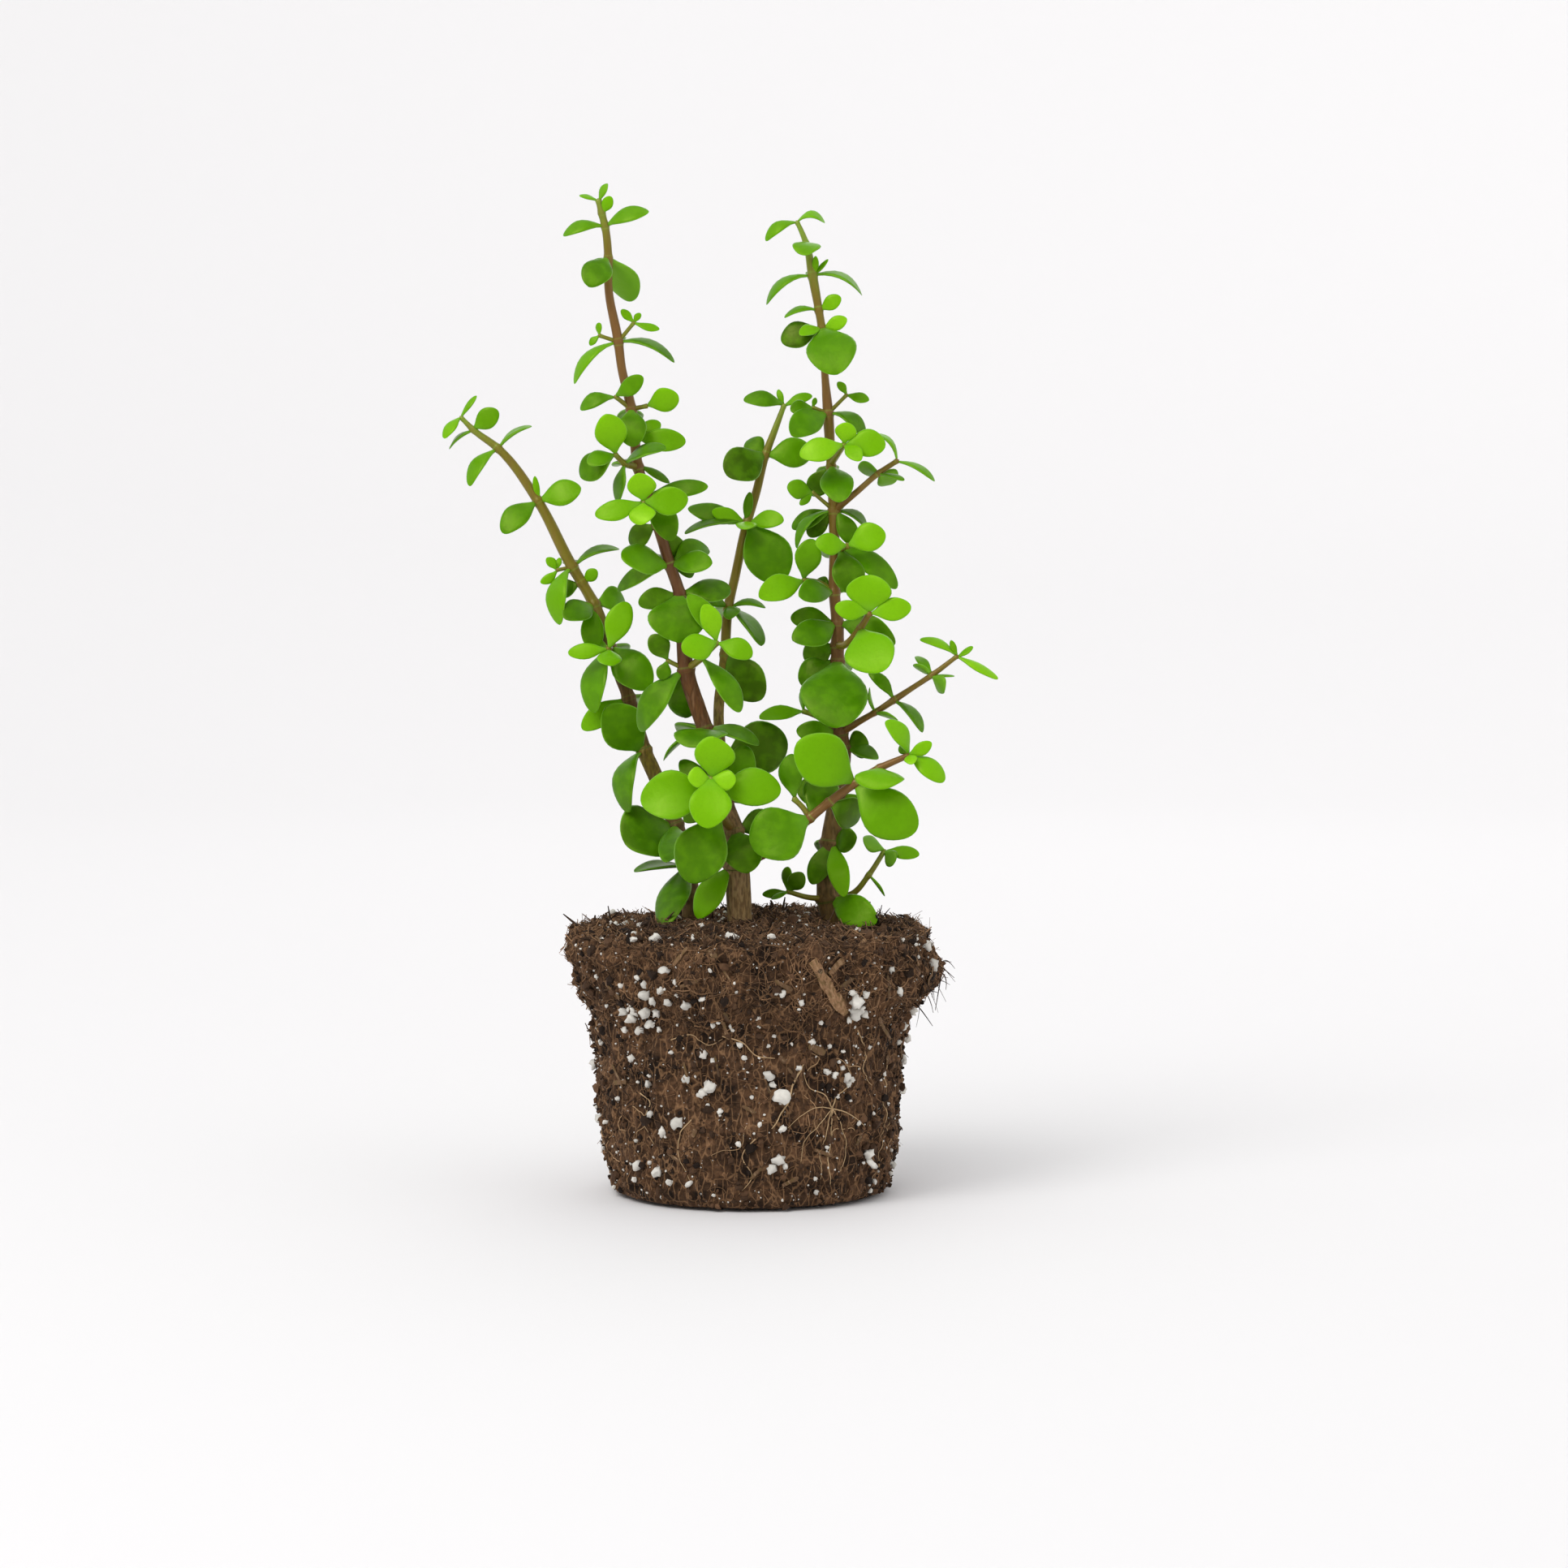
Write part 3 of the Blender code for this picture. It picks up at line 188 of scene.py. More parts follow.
# Leaves of each stem or shoot: the number of the route point it grows from, its tip (x, y, z),
# its width, the way its upper face looks, and how far it bows as a share of its length.
LEAVES = {
    "stem_left_top": (
        (7, (-88, -1, 254), 2.5, (-1, -1, 1), 0.05), (7, (-98, -3, 240), 4.5, (-1, -1, 0), 0.1),
        (6, (-97, 2, 237), 4, (-1, 0, 1), 0.1), (6, (-81, -4, 249), 6.5, (0, -1, 0.3), 0.05),
        (5, (-70, -2, 244), 5, (0, 0, 1), 0.12), (5, (-90, -3, 225), 6, (-1, -1, 1), 0.12),
        (4, (-54, -3, 224), 8.5, (0, -1, 0.6), 0.08), (4, (-79, -6, 210), 8, (-0.4, -1, 0.5), 0.1),
        (4, (-69, -3, 228), 2, (0, -1, 0), 0), (3, (-42, 2, 205), 5, (0, 0, 1), 0.15),
        (3, (-61, -5, 181), 8, (-1, -1, 0.4), 0.2), (2, (-49, 0, 198), 4, (-0.5, -1, 0), 0.05),
        (1, (-59, -9, 183), 8.5, (0, -1, 0.7), 0.08), (1, (-40, 9, 187), 9, (0.2, -1, 0.6), 0.1),
        (1, (-51, 18, 184), 8, (0, 0.4, 1), 0.1), (3, (-58, 13, 200), 5, (0, 0.2, 1), 0.1),
        (2, (-62, 4, 190), 6, (0, -1, 0.6), 0.06), (1, (-50, 0, 172), 7, (0, -1, 0.3), 0.06),
    ),
    "shoot_left_bud": (
        (1, (-65, -2, 202), 3, (0, -1, 0), 0), (1, (-67, -1, 194), 3, (0, -1, 0), 0),
        (1, (-61, 1, 202), 2, (0, -1, 0), 0),
    ),
    "stem_left": (
        (7, (-32, -4, 161), 11.5, (0, -1, 0.5), 0.1), (7, (-50, -3, 153), 10, (-1, -1, 0.3), 0.12),
        (6, (-54, 6, 147), 7, (0, -1, 0.3), 0.08), (5, (-46, -3, 154), 14, (0, -1, 0.1), 0.05),
        (5, (-39, 0, 121), 9.5, (-1, -0.7, 0.3), 0.25),
        (3, (-40, -2, 111), 18.5, (0, -1, 0.5), 0.08),
        (2, (-37, 3, 102), 6, (0, 0, 1), 0.05), (2, (-27, -9, 86), 11, (-0.6, -1, 0.2), 0.05),
        (7, (-43, 20, 170), 9, (0, 0.4, 1), 0.1), (6, (-37, 20, 154), 8, (0, 0.4, 1), 0.1),
        (3, (-26, -9, 105), 9, (0, -1, 0.3), 0.05),
    ),
    "shoot_left": (
        (2, (-39, -7, 188), 8, (0, -1, 0.1), 0.05), (2, (-45, -13, 168), 7.5, (0, -1, 0.6), 0.05),
        (2, (-58, -6, 172), 5, (0, -1, 0.4), 0.05), (1, (-50, 2, 176), 2, (0, -1, 0), 0),
    ),
    "trunk": (
        (2, (-17, -12, 89), 9, (-0.6, -1, 0.3), 0.08), (3, (0, -19, 104), 12, (0, -1, 0.5), 0.08),
        (3, (9, -2, 119), 9, (0, -1, 0.6), 0.05), (4, (-1, -8, 143), 10, (0, -1, 0.1), 0.05),
        (5, (-16, -17, 144), 16, (0, -0.3, 1), 0.08), (5, (3, -9, 144), 7, (0, -0.2, 1), 0.1),
        (5, (-28, 0, 139), 6, (-0.5, 0.2, 1), 0.08), (6, (-21, 5, 151), 9.5, (-0.2, -1, 0), 0.08),
        (4, (-22, 2, 138), 7, (0, -1, 0.2), 0.05), (4, (-21, -2, 119), 6, (0, -1, 0.5), 0.05),
        (6, (-35, -6, 148), 10, (-1, -1, 0.3), 0.15),
        (3, (-10, 8, 110), 9, (0, 0.5, 1), 0.1), (4, (-20, 6, 127), 9, (0, 0.3, 1), 0.1),
        (5, (-22, 10, 147), 8.5, (0, 0.3, 1), 0.1),
        (4, (2, 4, 130), 9, (0, -1, 0.3), 0.06), (3, (-14, -2, 108), 7, (0, -1, 0.2), 0.06),
    ),
    "branch_red": (
        (2, (1, -24, 112), 17, (0, -1, 0.5), 0.08), (2, (25, -9, 134), 11, (0, -1, 0), 0.05),
        (3, (35, -11, 120), 9.8, (0, -1, 0.3), 0.05), (4, (15, -26, 145), 16, (0, -1, 0.4), 0.08),
        (4, (52, -25, 117), 15, (0, -1, 0.4), 0.08), (5, (41, -30, 131), 14.5, (0, -1, 0.1), 0.08),
        (6, (43, -22, 152), 7, (1, -1, 0.6), 0.12), (6, (57, -23, 145), 4, (0, -1, 0.3), 0.05),
        (6, (61, -24, 133), 7, (0.5, -1, 0.5), 0.1), (6, (51, -27, 139), 4, (0, -1, 0.4), 0.05),
        (6, (47, -18, 144), 3, (0, -1, 0), 0.05),
    ),
    "shoot_red_leaf": ((2, (13, -14, 141), 8, (-0.6, -1, 0), 0.05),),
    "shoot_trunk_front": (
        (1, (-19, -21, 101), 16, (0, -1, 0.3), 0.08), (3, (-11, -25, 147), 12, (0, -1, 0.2), 0.05),
        (3, (-19, -25, 134), 6.5, (0, -1, 0.3), 0.03),
        (3, (-4, -25, 133), 6.5, (0, -1, 0.3), 0.03),
        (3, (-13, -31, 119), 12.5, (0, -1, 0.5), 0.06),
        (2, (-34, -21, 127), 15, (0, -1, 0.4), 0.08),
        (2, (10, -19, 130), 11.5, (0, -1, 0.4), 0.08),
    ),
    "shoot_trunk_left": (
        (1, (-31, -5, 178), 6.5, (0, -1, 0.3), 0.05), (1, (-28, -6, 164), 4.5, (0, -1, 0.3), 0.05),
    ),
    "shoot_trunk_right": (
        (1, (-3, -14, 154), 8, (0.8, -1, 0.4), 0.08),
        (2, (-14, -13, 188), 6.5, (0.3, -1, 0), 0.05),
        (2, (-21, -18, 174), 8.5, (0, -1, 0.5), 0.06), (2, (1, -14, 172), 7, (0, -1, 0.7), 0.08),
        (2, (-19, -11, 191), 6.5, (0, -1, 0.6), 0.06),
    ),
    "stem_middle": (
        (2, (-23, -12, 176), 17, (0, -1, 0.35), 0.08), (3, (-42, 3, 192), 6, (-0.3, -1, 1), 0.08),
        (2, (-35, -4, 188), 6.5, (0, -1, 0.4), 0.06), (2, (-6, 1, 192), 9.5, (0, -0.7, 1), 0.12),
        (3, (-40, -13, 203), 11, (0, -1, 0.9), 0.06), (3, (-12, -11, 201), 8, (0, -1, 0.9), 0.06),
        (3, (-13, 3, 205), 8, (0.3, -1, 1), 0.2), (4, (-38, 1, 207), 7, (0, -1, 0.3), 0.06),
        (5, (-13, -6, 225), 6, (0, -1, 0.8), 0.06), (6, (-25, -2, 226), 3.5, (1, -1, 1), 0.06),
        (7, (-20, -5, 239), 7, (-0.2, -1, 0.4), 0.06), (7, (-28, -1, 245), 5, (0, -1, 0.4), 0.06),
        (8, (-36, -12, 238), 9, (0, -1, 0.9), 0.08),
        (2, (-25, 13, 184), 9.8, (0, 0.5, 1), 0.1), (3, (-31, 13, 202), 9, (0, 0.3, 1), 0.1),
        (5, (-33, 12, 221), 8, (0, 0.3, 1), 0.1), (6, (-42, 9, 232), 8, (-0.3, 0.3, 1), 0.1),
        (8, (-38, 11, 243), 8, (0, 0.5, 1), 0.1),
        (5, (-24, -9, 208), 8, (0, -1, 0.5), 0.06), (4, (-18, 4, 196), 7, (0, -1, 0.3), 0.06),
    ),
    "shoot_middle_front": (
        (1, (-34, -17, 229), 8.5, (0, -1, -0.1), 0.04),
        (1, (-33, -20, 213), 8, (0, -1, 0.5), 0.04),
        (1, (-48, -16, 216), 6.5, (0, -1, 0.4), 0.06),
        (1, (-19, -16, 221), 8.5, (0, -1, 0.2), 0.06),
    ),
    "shoot_middle_left": (
        (2, (-44, -17, 247), 9.5, (0, -1, 0.2), 0.05),
        (2, (-53, -9, 228), 9, (-0.4, -1, 0.5), 0.08),
        (2, (-50, -17, 232), 6, (0, -1, 1), 0.06), (1, (-26, -13, 237), 7, (0, -0.4, 1), 0.12),
        (1, (-41, -10, 220), 6, (-1, -0.6, 0.3), 0.06),
    ),
    "shoot_middle_tip_a": (
        (1, (-53, -5, 249), 5.5, (-0.2, -1, 1), 0.15),
        (1, (-33, -9, 259), 5.5, (0, -1, 0.3), 0.05),
    ),
    "shoot_middle_tip_b": ((1, (-22, -7, 253), 7.5, (0, -1, 0), 0.04),),
    "stem_middle_top": (
        (2, (-55, -4, 257), 5, (-1, -0.6, 1), 0.2), (2, (-23, -4, 265), 5, (0.3, -0.3, 1), 0.15),
        (4, (-50, -13, 287), 9, (0, -1, 0.8), 0.08), (4, (-37, 7, 283), 10, (0.2, 1, 1), 0.08),
        (4, (-49, -3, 295), 1.6, (0, -1, 0), 0), (5, (-58, -5, 303), 5, (0, -0.6, 1), 0.15),
        (5, (-31, -5, 310), 6, (0, -0.8, 1), 0.15), (7, (-44, -4, 319), 3.5, (-1, -1, 1), 0.05),
        (7, (-53, -4, 315), 2.5, (0, -0.4, 1), 0.04),
        (6, (-43, -5, 315), 3.5, (0, -1, 0.3), 0.04),
        (2, (-41, 8, 270), 4, (0, 0.2, 1), 0.12),
    ),
    "shoot_top_left": (
        (1, (-47, -4, 276), 2.5, (-1, -0.6, 0), 0), (1, (-50, -4, 269), 2.5, (-1, -0.6, 0), 0),
    ),
    "shoot_top_right": (
        (1, (-40, -4, 280), 2.6, (0, -1, 0.3), 0), (1, (-28, -5, 274), 3, (0, -0.6, 1), 0),
        (1, (-34, -3, 279), 2, (0, -1, 0), 0),
    ),
    "stem_back": (
        (1, (12, 4, 144), 16, (0, -1, 0.2), 0.08), (3, (4, 0, 157), 12, (0, -1, 0.2), 0.08),
        (4, (-18, -2, 191), 5.5, (0, -1, 0.6), 0.06), (4, (5, 6, 186), 4, (0, -0.2, 1), 0.15),
        (4, (-6, -1, 183), 5.5, (0, -1, 0.6), 0.05), (4, (4, 3, 174), 8.5, (1, -0.3, 0.6), 0.1),
        (6, (-1, -1, 211), 6.5, (0, -1, 0.7), 0.04), (6, (11, 5, 214), 6, (0, -1, 0.5), 0.05),
        (6, (-12, 6, 217), 5, (0, -1, 0.5), 0.05), (6, (-21, 5, 211), 6, (0, 0, 1), 0.1),
        (6, (0, 8, 223), 3, (0, -1, 0), 0.03), (6, (10, 6, 194), 15, (0.3, -1, 0.3), 0.06),
        (8, (-8, 3, 228), 12, (0, -1, 0.4), 0.06), (8, (20, 12, 236), 9.6, (0, -1, 0.5), 0.1),
        (10, (-2, 9, 253), 6, (0, -1, 1), 0.1), (10, (20, 10, 254), 4, (0, -1, 1), 0.1),
        (10, (9, 12, 256), 2, (0, -1, 0), 0.03),
        (3, (-4, 21, 171), 8, (0, 0.3, 1), 0.1), (4, (-9, 22, 182), 7, (0, 0.4, 1), 0.1),
        (6, (-1, 24, 211), 7, (0, 0.3, 1), 0.1), (8, (4, 23, 234), 5, (0, 0.2, 1), 0.1),
        (6, (-20, 10, 218), 7, (0, -1, 0.8), 0.08), (8, (-1, 14, 240), 7, (0, -1, 0.6), 0.06),
    ),
    "stem_right": (
        (3, (34, -2, 113), 8, (0, -1, 0.5), 0.08), (3, (20, 1, 98), 7, (-0.2, -1, 0.2), 0.06),
        (3, (30, -5, 95), 6.5, (0, -1, 0.3), 0.1), (2, (40, -8, 87), 9.9, (0.2, -1, 0.2), 0.08),
        (5, (41, 2, 138), 6, (0.5, -0.7, 1), 0.12), (6, (15, 3, 147), 7, (0, -1, 0.4), 0.06),
        (3, (24, 21, 107), 8, (0, 0.4, 1), 0.1), (4, (26, 22, 124), 9, (0, 0.4, 1), 0.1),
        (5, (24, 21, 138), 9, (0, 0.4, 1), 0.1),
        (4, (15, 6, 128), 9, (0, -1, 0.3), 0.06), (5, (38, 6, 143), 9, (0, -1, 0.5), 0.06), 
        (4, (35, 8, 120), 8, (0, -1, 0.2), 0.06),
    ),
    "shoot_foot_left": (
        (2, (4, -1, 95), 3, (0, -1, 0.4), 0.03), (2, (12, -2, 104), 4, (-1, -1, 0), 0.03),
        (2, (17, -3, 102), 5.5, (0, -1, 0), 0.04), (2, (7, -5, 94), 2, (0, -1, 1), 0),
    ),
    "shoot_foot_right": (
        (3, (36, -3, 113), 6, (0, 1, -1), 0.05), (3, (46, -4, 105), 5.5, (0, 1, 0.4), 0.05),
        (3, (54, -2, 108), 5, (0, -1, 1), 0.05), (2, (43, 3, 94), 3, (1, 0.3, 0.5), 0.05),
    ),
    "shoot_right_long": (
        (2, (38, -4, 161), 3.5, (-0.3, -0.2, 1), 0.08), (2, (47, -6, 151), 4, (0.5, 0.4, 1), 0.05),
        (3, (38, -1, 166), 4, (-0.6, -0.3, 1), 0.15),
        (3, (55, -5, 147), 5.5, (1, -0.5, 0.6), 0.15),
        (5, (52, -1, 168), 5, (0, 0.5, 1), 0.05), (5, (62, -7, 160), 6, (0.3, 0.6, 0.5), 0.05),
        (5, (53, 2, 171), 3.5, (0, 0, 1), 0.08), (5, (65, -6, 165), 2, (0, 0, 1), 0),
        (6, (54, -3, 176), 4, (0, -0.1, 1), 0.12), (6, (79, -4, 164), 4, (0.2, -0.2, 1), 0.05),
        (6, (64, -5, 176), 2, (0, -1, 0.2), 0), (6, (71, -3, 174), 2.4, (0, -0.5, 1), 0),
    ),
    "shoot_right_back": (
        (2, (3, 1, 151), 5.5, (0, -1, 1), 0.06), (2, (18, 6, 161), 4, (-1, -0.4, 0), 0.1),
    ),
    "stem_right_middle": (
        (1, (28, -15, 150), 20, (0, -1, 0.4), 0.07), (1, (16, 5, 162), 10, (-0.3, -1, 0.2), 0.06),
        (3, (14, -5, 176), 9.8, (0, -1, 0.7), 0.06), (3, (13, 5, 183), 7, (0, -1, 0.3), 0.06),
        (3, (46, -1, 175), 9, (0.3, -1, 0.2), 0.08), (4, (16, -8, 190), 8, (0, -1, 0.6), 0.06),
        (3, (37, 7, 180), 4, (0, -1, 0.2), 0.03), (5, (47, -1, 193), 8, (0.3, -1, 0.9), 0.2),
        (6, (15, 3, 205), 5, (-1, -0.4, 0.7), 0.22), (6, (13, 9, 212), 6, (-0.5, -1, 0.5), 0.1),
        (6, (38, 7, 211), 5, (0.6, -0.4, 1), 0.2), (6, (19, 11, 209), 6, (0, -1, 0.4), 0.05),
        (7, (19, 9, 222), 7, (0, -1, 0.3), 0.06), (7, (29, -9, 220), 10, (0, -1, 0.6), 0.07),
        (1, (28, 22, 163), 9.8, (0, 0.5, 1), 0.1), (3, (23, 20, 178), 8, (0, 0.3, 1), 0.1),
        (4, (36, 19, 190), 9, (0, 0.3, 1), 0.1), (5, (25, 19, 202), 8, (0, 0.3, 1), 0.1),
        (6, (28, 18, 216), 5, (0, 0.2, 1), 0.1), (7, (24, 17, 227), 7, (0, 0.4, 1), 0.1),
        (4, (20, 9, 193), 8.5, (0, -1, 0.3), 0.06), (2, (17, 8, 170), 9, (0, -1, 0.4), 0.06), 
        (5, (36, 4, 198), 8, (0, -1, 0.6), 0.06), (6, (34, 2, 206), 6, (0, -1, 0.3), 0.06),
    ),
    "shoot_right_front": (
        (3, (38, -15, 197), 13.5, (0, -1, 0), 0.04), (3, (27, -15, 187), 6, (0, -1, 0.3), 0.05),
        (3, (51, -15, 187), 7, (0, -1, 0.2), 0.05), (2, (42, -22, 167), 15, (0, -1, 0.4), 0.06),
    ),
    "shoot_right_left": (
        (2, (20, 1, 208), 8, (0, -1, 0), 0.05), (2, (3, -6, 190), 8.3, (0, -1, 0.3), 0.06),
    ),
    "shoot_right_near": (
        (2, (43, -8, 210), 9, (0, -1, 0.3), 0.06), (2, (21, -10, 207), 7, (0, -1, 0.4), 0.06),
        (1, (33, -7, 191), 9.8, (0.2, -1, 0.4), 0.08),
    ),
    "shoot_right_arm": (
        (2, (35, 5, 231), 6, (0, 1, 0.5), 0.05), (2, (46, 3, 226), 7.5, (0, 1, 0.5), 0.05),
        (2, (49, -8, 227), 3, (0, 0, 1), 0.03), (3, (39, -3, 242), 4, (0.8, -0.2, 1), 0.2),
        (3, (59, -5, 227), 4, (0.2, -0.2, 1), 0.1),
    ),
    "shoot_right_bud": (
        (1, (12, 0, 225), 6, (0, -1, 0.2), 0.05), (1, (16, 0, 219), 2.5, (0, -1, 0.3), 0),
    ),
    "stem_right_top": (
        (1, (13, -8, 241), 9, (0, -1, 0.5), 0.06), (1, (37, 2, 240), 6, (0.6, -0.5, 1), 0.25),
        (3, (28, -11, 261), 15, (0, -1, 0.5), 0.07), (3, (10, 4, 271), 8.5, (0, -1, 0.4), 0.06),
        (3, (16, -3, 273), 4.5, (0, -1, 1), 0.05), (3, (31, 2, 278), 4.5, (0, -1, 0.2), 0.04),
        (4, (11, 2, 279), 3.5, (0, -0.3, 1), 0.15), (4, (29, 2, 285), 4.7, (0, -1, 0.4), 0.05),
        (5, (5, 4, 283), 5, (-0.5, -0.3, 1), 0.22), (5, (36, 4, 286), 5, (0.4, -0.2, 1), 0.2),
        (5, (21, 2, 298), 2, (0, -1, 0), 0), (5, (25, 3, 297), 2, (0, -0.5, 1), 0),
        (6, (18, -6, 298), 8.5, (0, -1, 0.8), 0.08), (8, (5, 3, 303), 4.5, (-0.3, -0.5, 1), 0.2),
        (8, (24, 4, 309), 4, (0, -0.4, 1), 0.3),
        (1, (18, 17, 243), 8, (0, 0.4, 1), 0.1), (3, (26, 16, 267), 9, (0, 0.5, 1), 0.1),
        (5, (20, 12, 293), 4, (0, 0.2, 1), 0.1), (6, (18, 12, 300), 6, (0, 0.3, 1), 0.1),
    ),
    "shoot_right_rosette": (
        (2, (31, -9, 245), 6.5, (0, -1, 0), 0.04), (2, (43, -9, 238), 8.5, (0, -1, 0.3), 0.05),
        (2, (35, -14, 233), 5, (0, -1, 0.5), 0.05), (2, (16, -10, 235), 8, (0, -1, 0.4), 0.06),
    ),
    "shoot_right_tip_a": (
        (1, (28, 2, 258), 2.5, (0, -1, 0), 0), (1, (38, 1, 252), 4, (0, -1, 1), 0.05),
    ),
    "shoot_right_tip_b": (
        (1, (13, -2, 249), 5.5, (0, -1, 0.6), 0.05), (1, (21, 1, 253), 1.6, (0, -1, 0), 0),
    ),
}

# How far a stem and all it carries leans to the back for each millimetre above LEAN_FROM.
LEAN = {"stem_left": 0.14, "trunk": -0.05, "stem_back": 0.1, "stem_right": 0.05}
LEAN_FROM = 90
LEANS_WITH = {
    "stem_left_top": "stem_left", "stem_middle": "trunk", "stem_middle_top": "trunk",
    "stem_right_middle": "stem_right", "stem_right_top": "stem_right",
}

# Tone of each leaf, from 0 for the darkest to 9 for the palest, in the order of LEAVES.
# The tones are partly each leaf's own colour and partly painted light:
# painted shade on leaves deep in the plant, painted light and sheen on leaves turned to the light.
TONES = {
    "stem_left_top": "674555646266342234",
    "shoot_left_bud": "777",
    "stem_left": "44643232223",
    "shoot_left": "7773",
    "trunk": "6213324222322222",
    "branch_red": "42165677793",
    "shoot_red_leaf": "3",
    "shoot_trunk_front": "3799766",
    "shoot_trunk_left": "23",
    "shoot_trunk_right": "49765",
    "stem_middle": "32225431336632222232",
    "shoot_middle_front": "8966",
    "shoot_middle_left": "73433",
    "shoot_middle_tip_a": "45",
    "shoot_middle_tip_b": "7",
    "stem_middle_top": "63354556673",
    "shoot_top_left": "66",
    "shoot_top_right": "666",
    "stem_back": "11344387723415466222233",
    "stem_right": "226523222222",
    "shoot_foot_left": "2223",
    "shoot_foot_right": "4465",
    "shoot_right_long": "464355557866",
    "shoot_right_back": "65",
    "stem_right_middle": "323234644321142222222233",
    "shoot_right_front": "7787",
    "shoot_right_left": "57",
    "shoot_right_near": "762",
    "shoot_right_arm": "34365",
    "shoot_right_bud": "54",
    "stem_right_top": "4341785755665662222",
    "shoot_right_rosette": "8778",
    "shoot_right_tip_a": "55",
    "shoot_right_tip_b": "34",
}

# Stems as they grow, each from foot to tip through its parts, with its bark's tint by height.
BARK = {
    "bark_left": (("stem_left", "stem_left_top"), (
        (86, "wood"), (118, "umber"), (137, "olive"), (150, "plum"), (172, "umber"),
        (190, "olive"), (235, "olive"), (250, "green"))),
    "bark_trunk": (("trunk", "stem_middle", "stem_middle_top"), (
        (84, "wood"), (112, "wood"), (130, "plum"), (205, "plum"), (240, "russet"),
        (285, "russet"), (300, "olive"), (318, "green"))),
    "bark_back": (("stem_back",), (
        (124, "wood"), (165, "olive"), (235, "olive"), (251, "green"))),
    "bark_right": (("stem_right", "stem_right_middle", "stem_right_top"), (
        (84, "umber"), (130, "umber"), (150, "plum"), (195, "russet"), (235, "olive"),
        (252, "russet"), (285, "olive"), (300, "green"))),
}
SHOOT_BARK = {
    "branch_red": ("russet", "russet"), "shoot_right_long": ("russet", "olive"),
    "shoot_right_arm": ("russet", "olive"), "shoot_trunk_front": ("russet", "green"),
    "shoot_right_front": ("olive", "russet"),
}

# Root ball: (radius, height) of the outline, base to soil top, as the soil fills it.
BALL_OUTLINE = (
    (0, 0.4), (38, 0.4), (43.5, 1.2), (45.2, 4), (46.2, 15), (47.6, 30), (49, 46), (50, 56),
    (51.6, 60), (53.8, 64), (55.2, 68), (55.9, 75), (56.4, 81), (56, 83), (54, 84), (48, 84.4),
    (36, 85), (20, 86), (0, 86.6),
)
# Perlite grains on the front: (x, z, size), standing on the side of the ball.
GRAINS = (
    (-26, 76, 2.4), (-22, 73, 1.4), (-32, 68, 3.2), (-39, 62, 2.4), (-35, 63, 2.8),
    (-32, 63, 3.4), (-29, 62, 2.6), (-30, 66, 2.2), (-38, 56, 1.8), (-28, 57, 1.9),
    (-14, 68, 1.5), (10, 70, 2.2), (16, 67, 1.6), (33, 66, 3.8), (35, 63, 2.4), (32, 69, 2.6),
    (36, 68, 1.8), (44, 75, 1.9), (-36, 47, 2.0), (-14, 50, 2.8), (-11, 48, 1.5), (6, 53, 1.3),
    (19, 54, 1.6), (-32, 39, 2.2), (-31, 42, 1.4), (-19, 42, 1.9), (-12, 40, 2.8),
    (-14, 38, 2.0), (6, 44, 3.6), (7, 41, 2.0), (10, 37, 3.9), (15, 46, 1.5), (-15, 37, 1.7),
    (-30, 30, 2.2), (-22, 28, 2.9), (-26, 25, 2.7), (-9, 32, 1.4), (10, 27, 2.0),
    (30, 40, 1.9), (37, 16, 3.2), (37, 13, 2.6), (9, 17, 3.4), (7, 14, 3.0), (11, 15, 1.8),
    (-34, 13, 2.8), (-28, 12, 2.6), (-18, 9, 2.0), (21, 6, 1.5), (-40, 70, 1.6), (38, 50, 1.6),
    (-36, 60, 3.0), (-33, 57, 2.2), (-30, 59, 2.6), (-25, 66, 2.2), (-27, 70, 2.0),
    (33, 62, 3.2), (36, 61, 2.2), (31, 60, 1.8), (-19, 66, 2.8), (26, 43, 2.0), (29, 42, 2.4),
    (31, 41, 1.8), (28, 45, 1.6), (24, 44, 1.8), (46, 68, 2.2), (-35, 73, 1.9), (-33, 71, 1.8),
    (25, 52, 1.4), (27, 36, 1.4), (42, 41, 1.3), (-41, 33, 1.3), (-24, 50, 1.5), (-5, 58, 1.2),
    (3, 62, 1.3), (22, 60, 1.4), (-46, 50, 1.4), (-45, 24, 1.5), (44, 30, 1.5), (24, 20, 1.3),
)
# Perlite grains on the soil's top: (x, y, size).
TOP_GRAINS = (
    (-43, -10, 2.4), (-37, -36, 2.2), (-29, -37, 2.8), (-24, -40, 1.6), (-5, -38, 3.2),
    (12, -38, 1.6), (-15, -20, 1.8), (34, -18, 2.0), (18, 26, 2.4), (-28, 30, 2.6), (5, 38, 1.8),
    (40, 12, 2.2), (-8, 16, 1.6), (-36, 8, 2.0), (14, 8, 1.5),
)
# Bark chips on the front: the two ends (x, z), the width and the tint, 0 dark to 1 straw.
CHIPS = (
    (19, 80, 30, 62, 4.0, 0.8), (36, 84, 25, 75, 2.6, 0.65), (18, 53, 23, 50, 2.4, 0.35),
    (-8, 62, -6, 55, 1.4, 0.4), (8, 74, 13, 71, 1.6, 0.3), (-20, 72, -15, 74, 1.5, 0.35),
    (40, 60, 43, 52, 1.5, 0.3), (-42, 44, -40, 37, 1.3, 0.35), (28, 71, 33, 73, 1.8, 0.2),
    (-2, 34, 2, 32, 1.4, 0.3), (-25, 18, -21, 16, 1.3, 0.3),
)
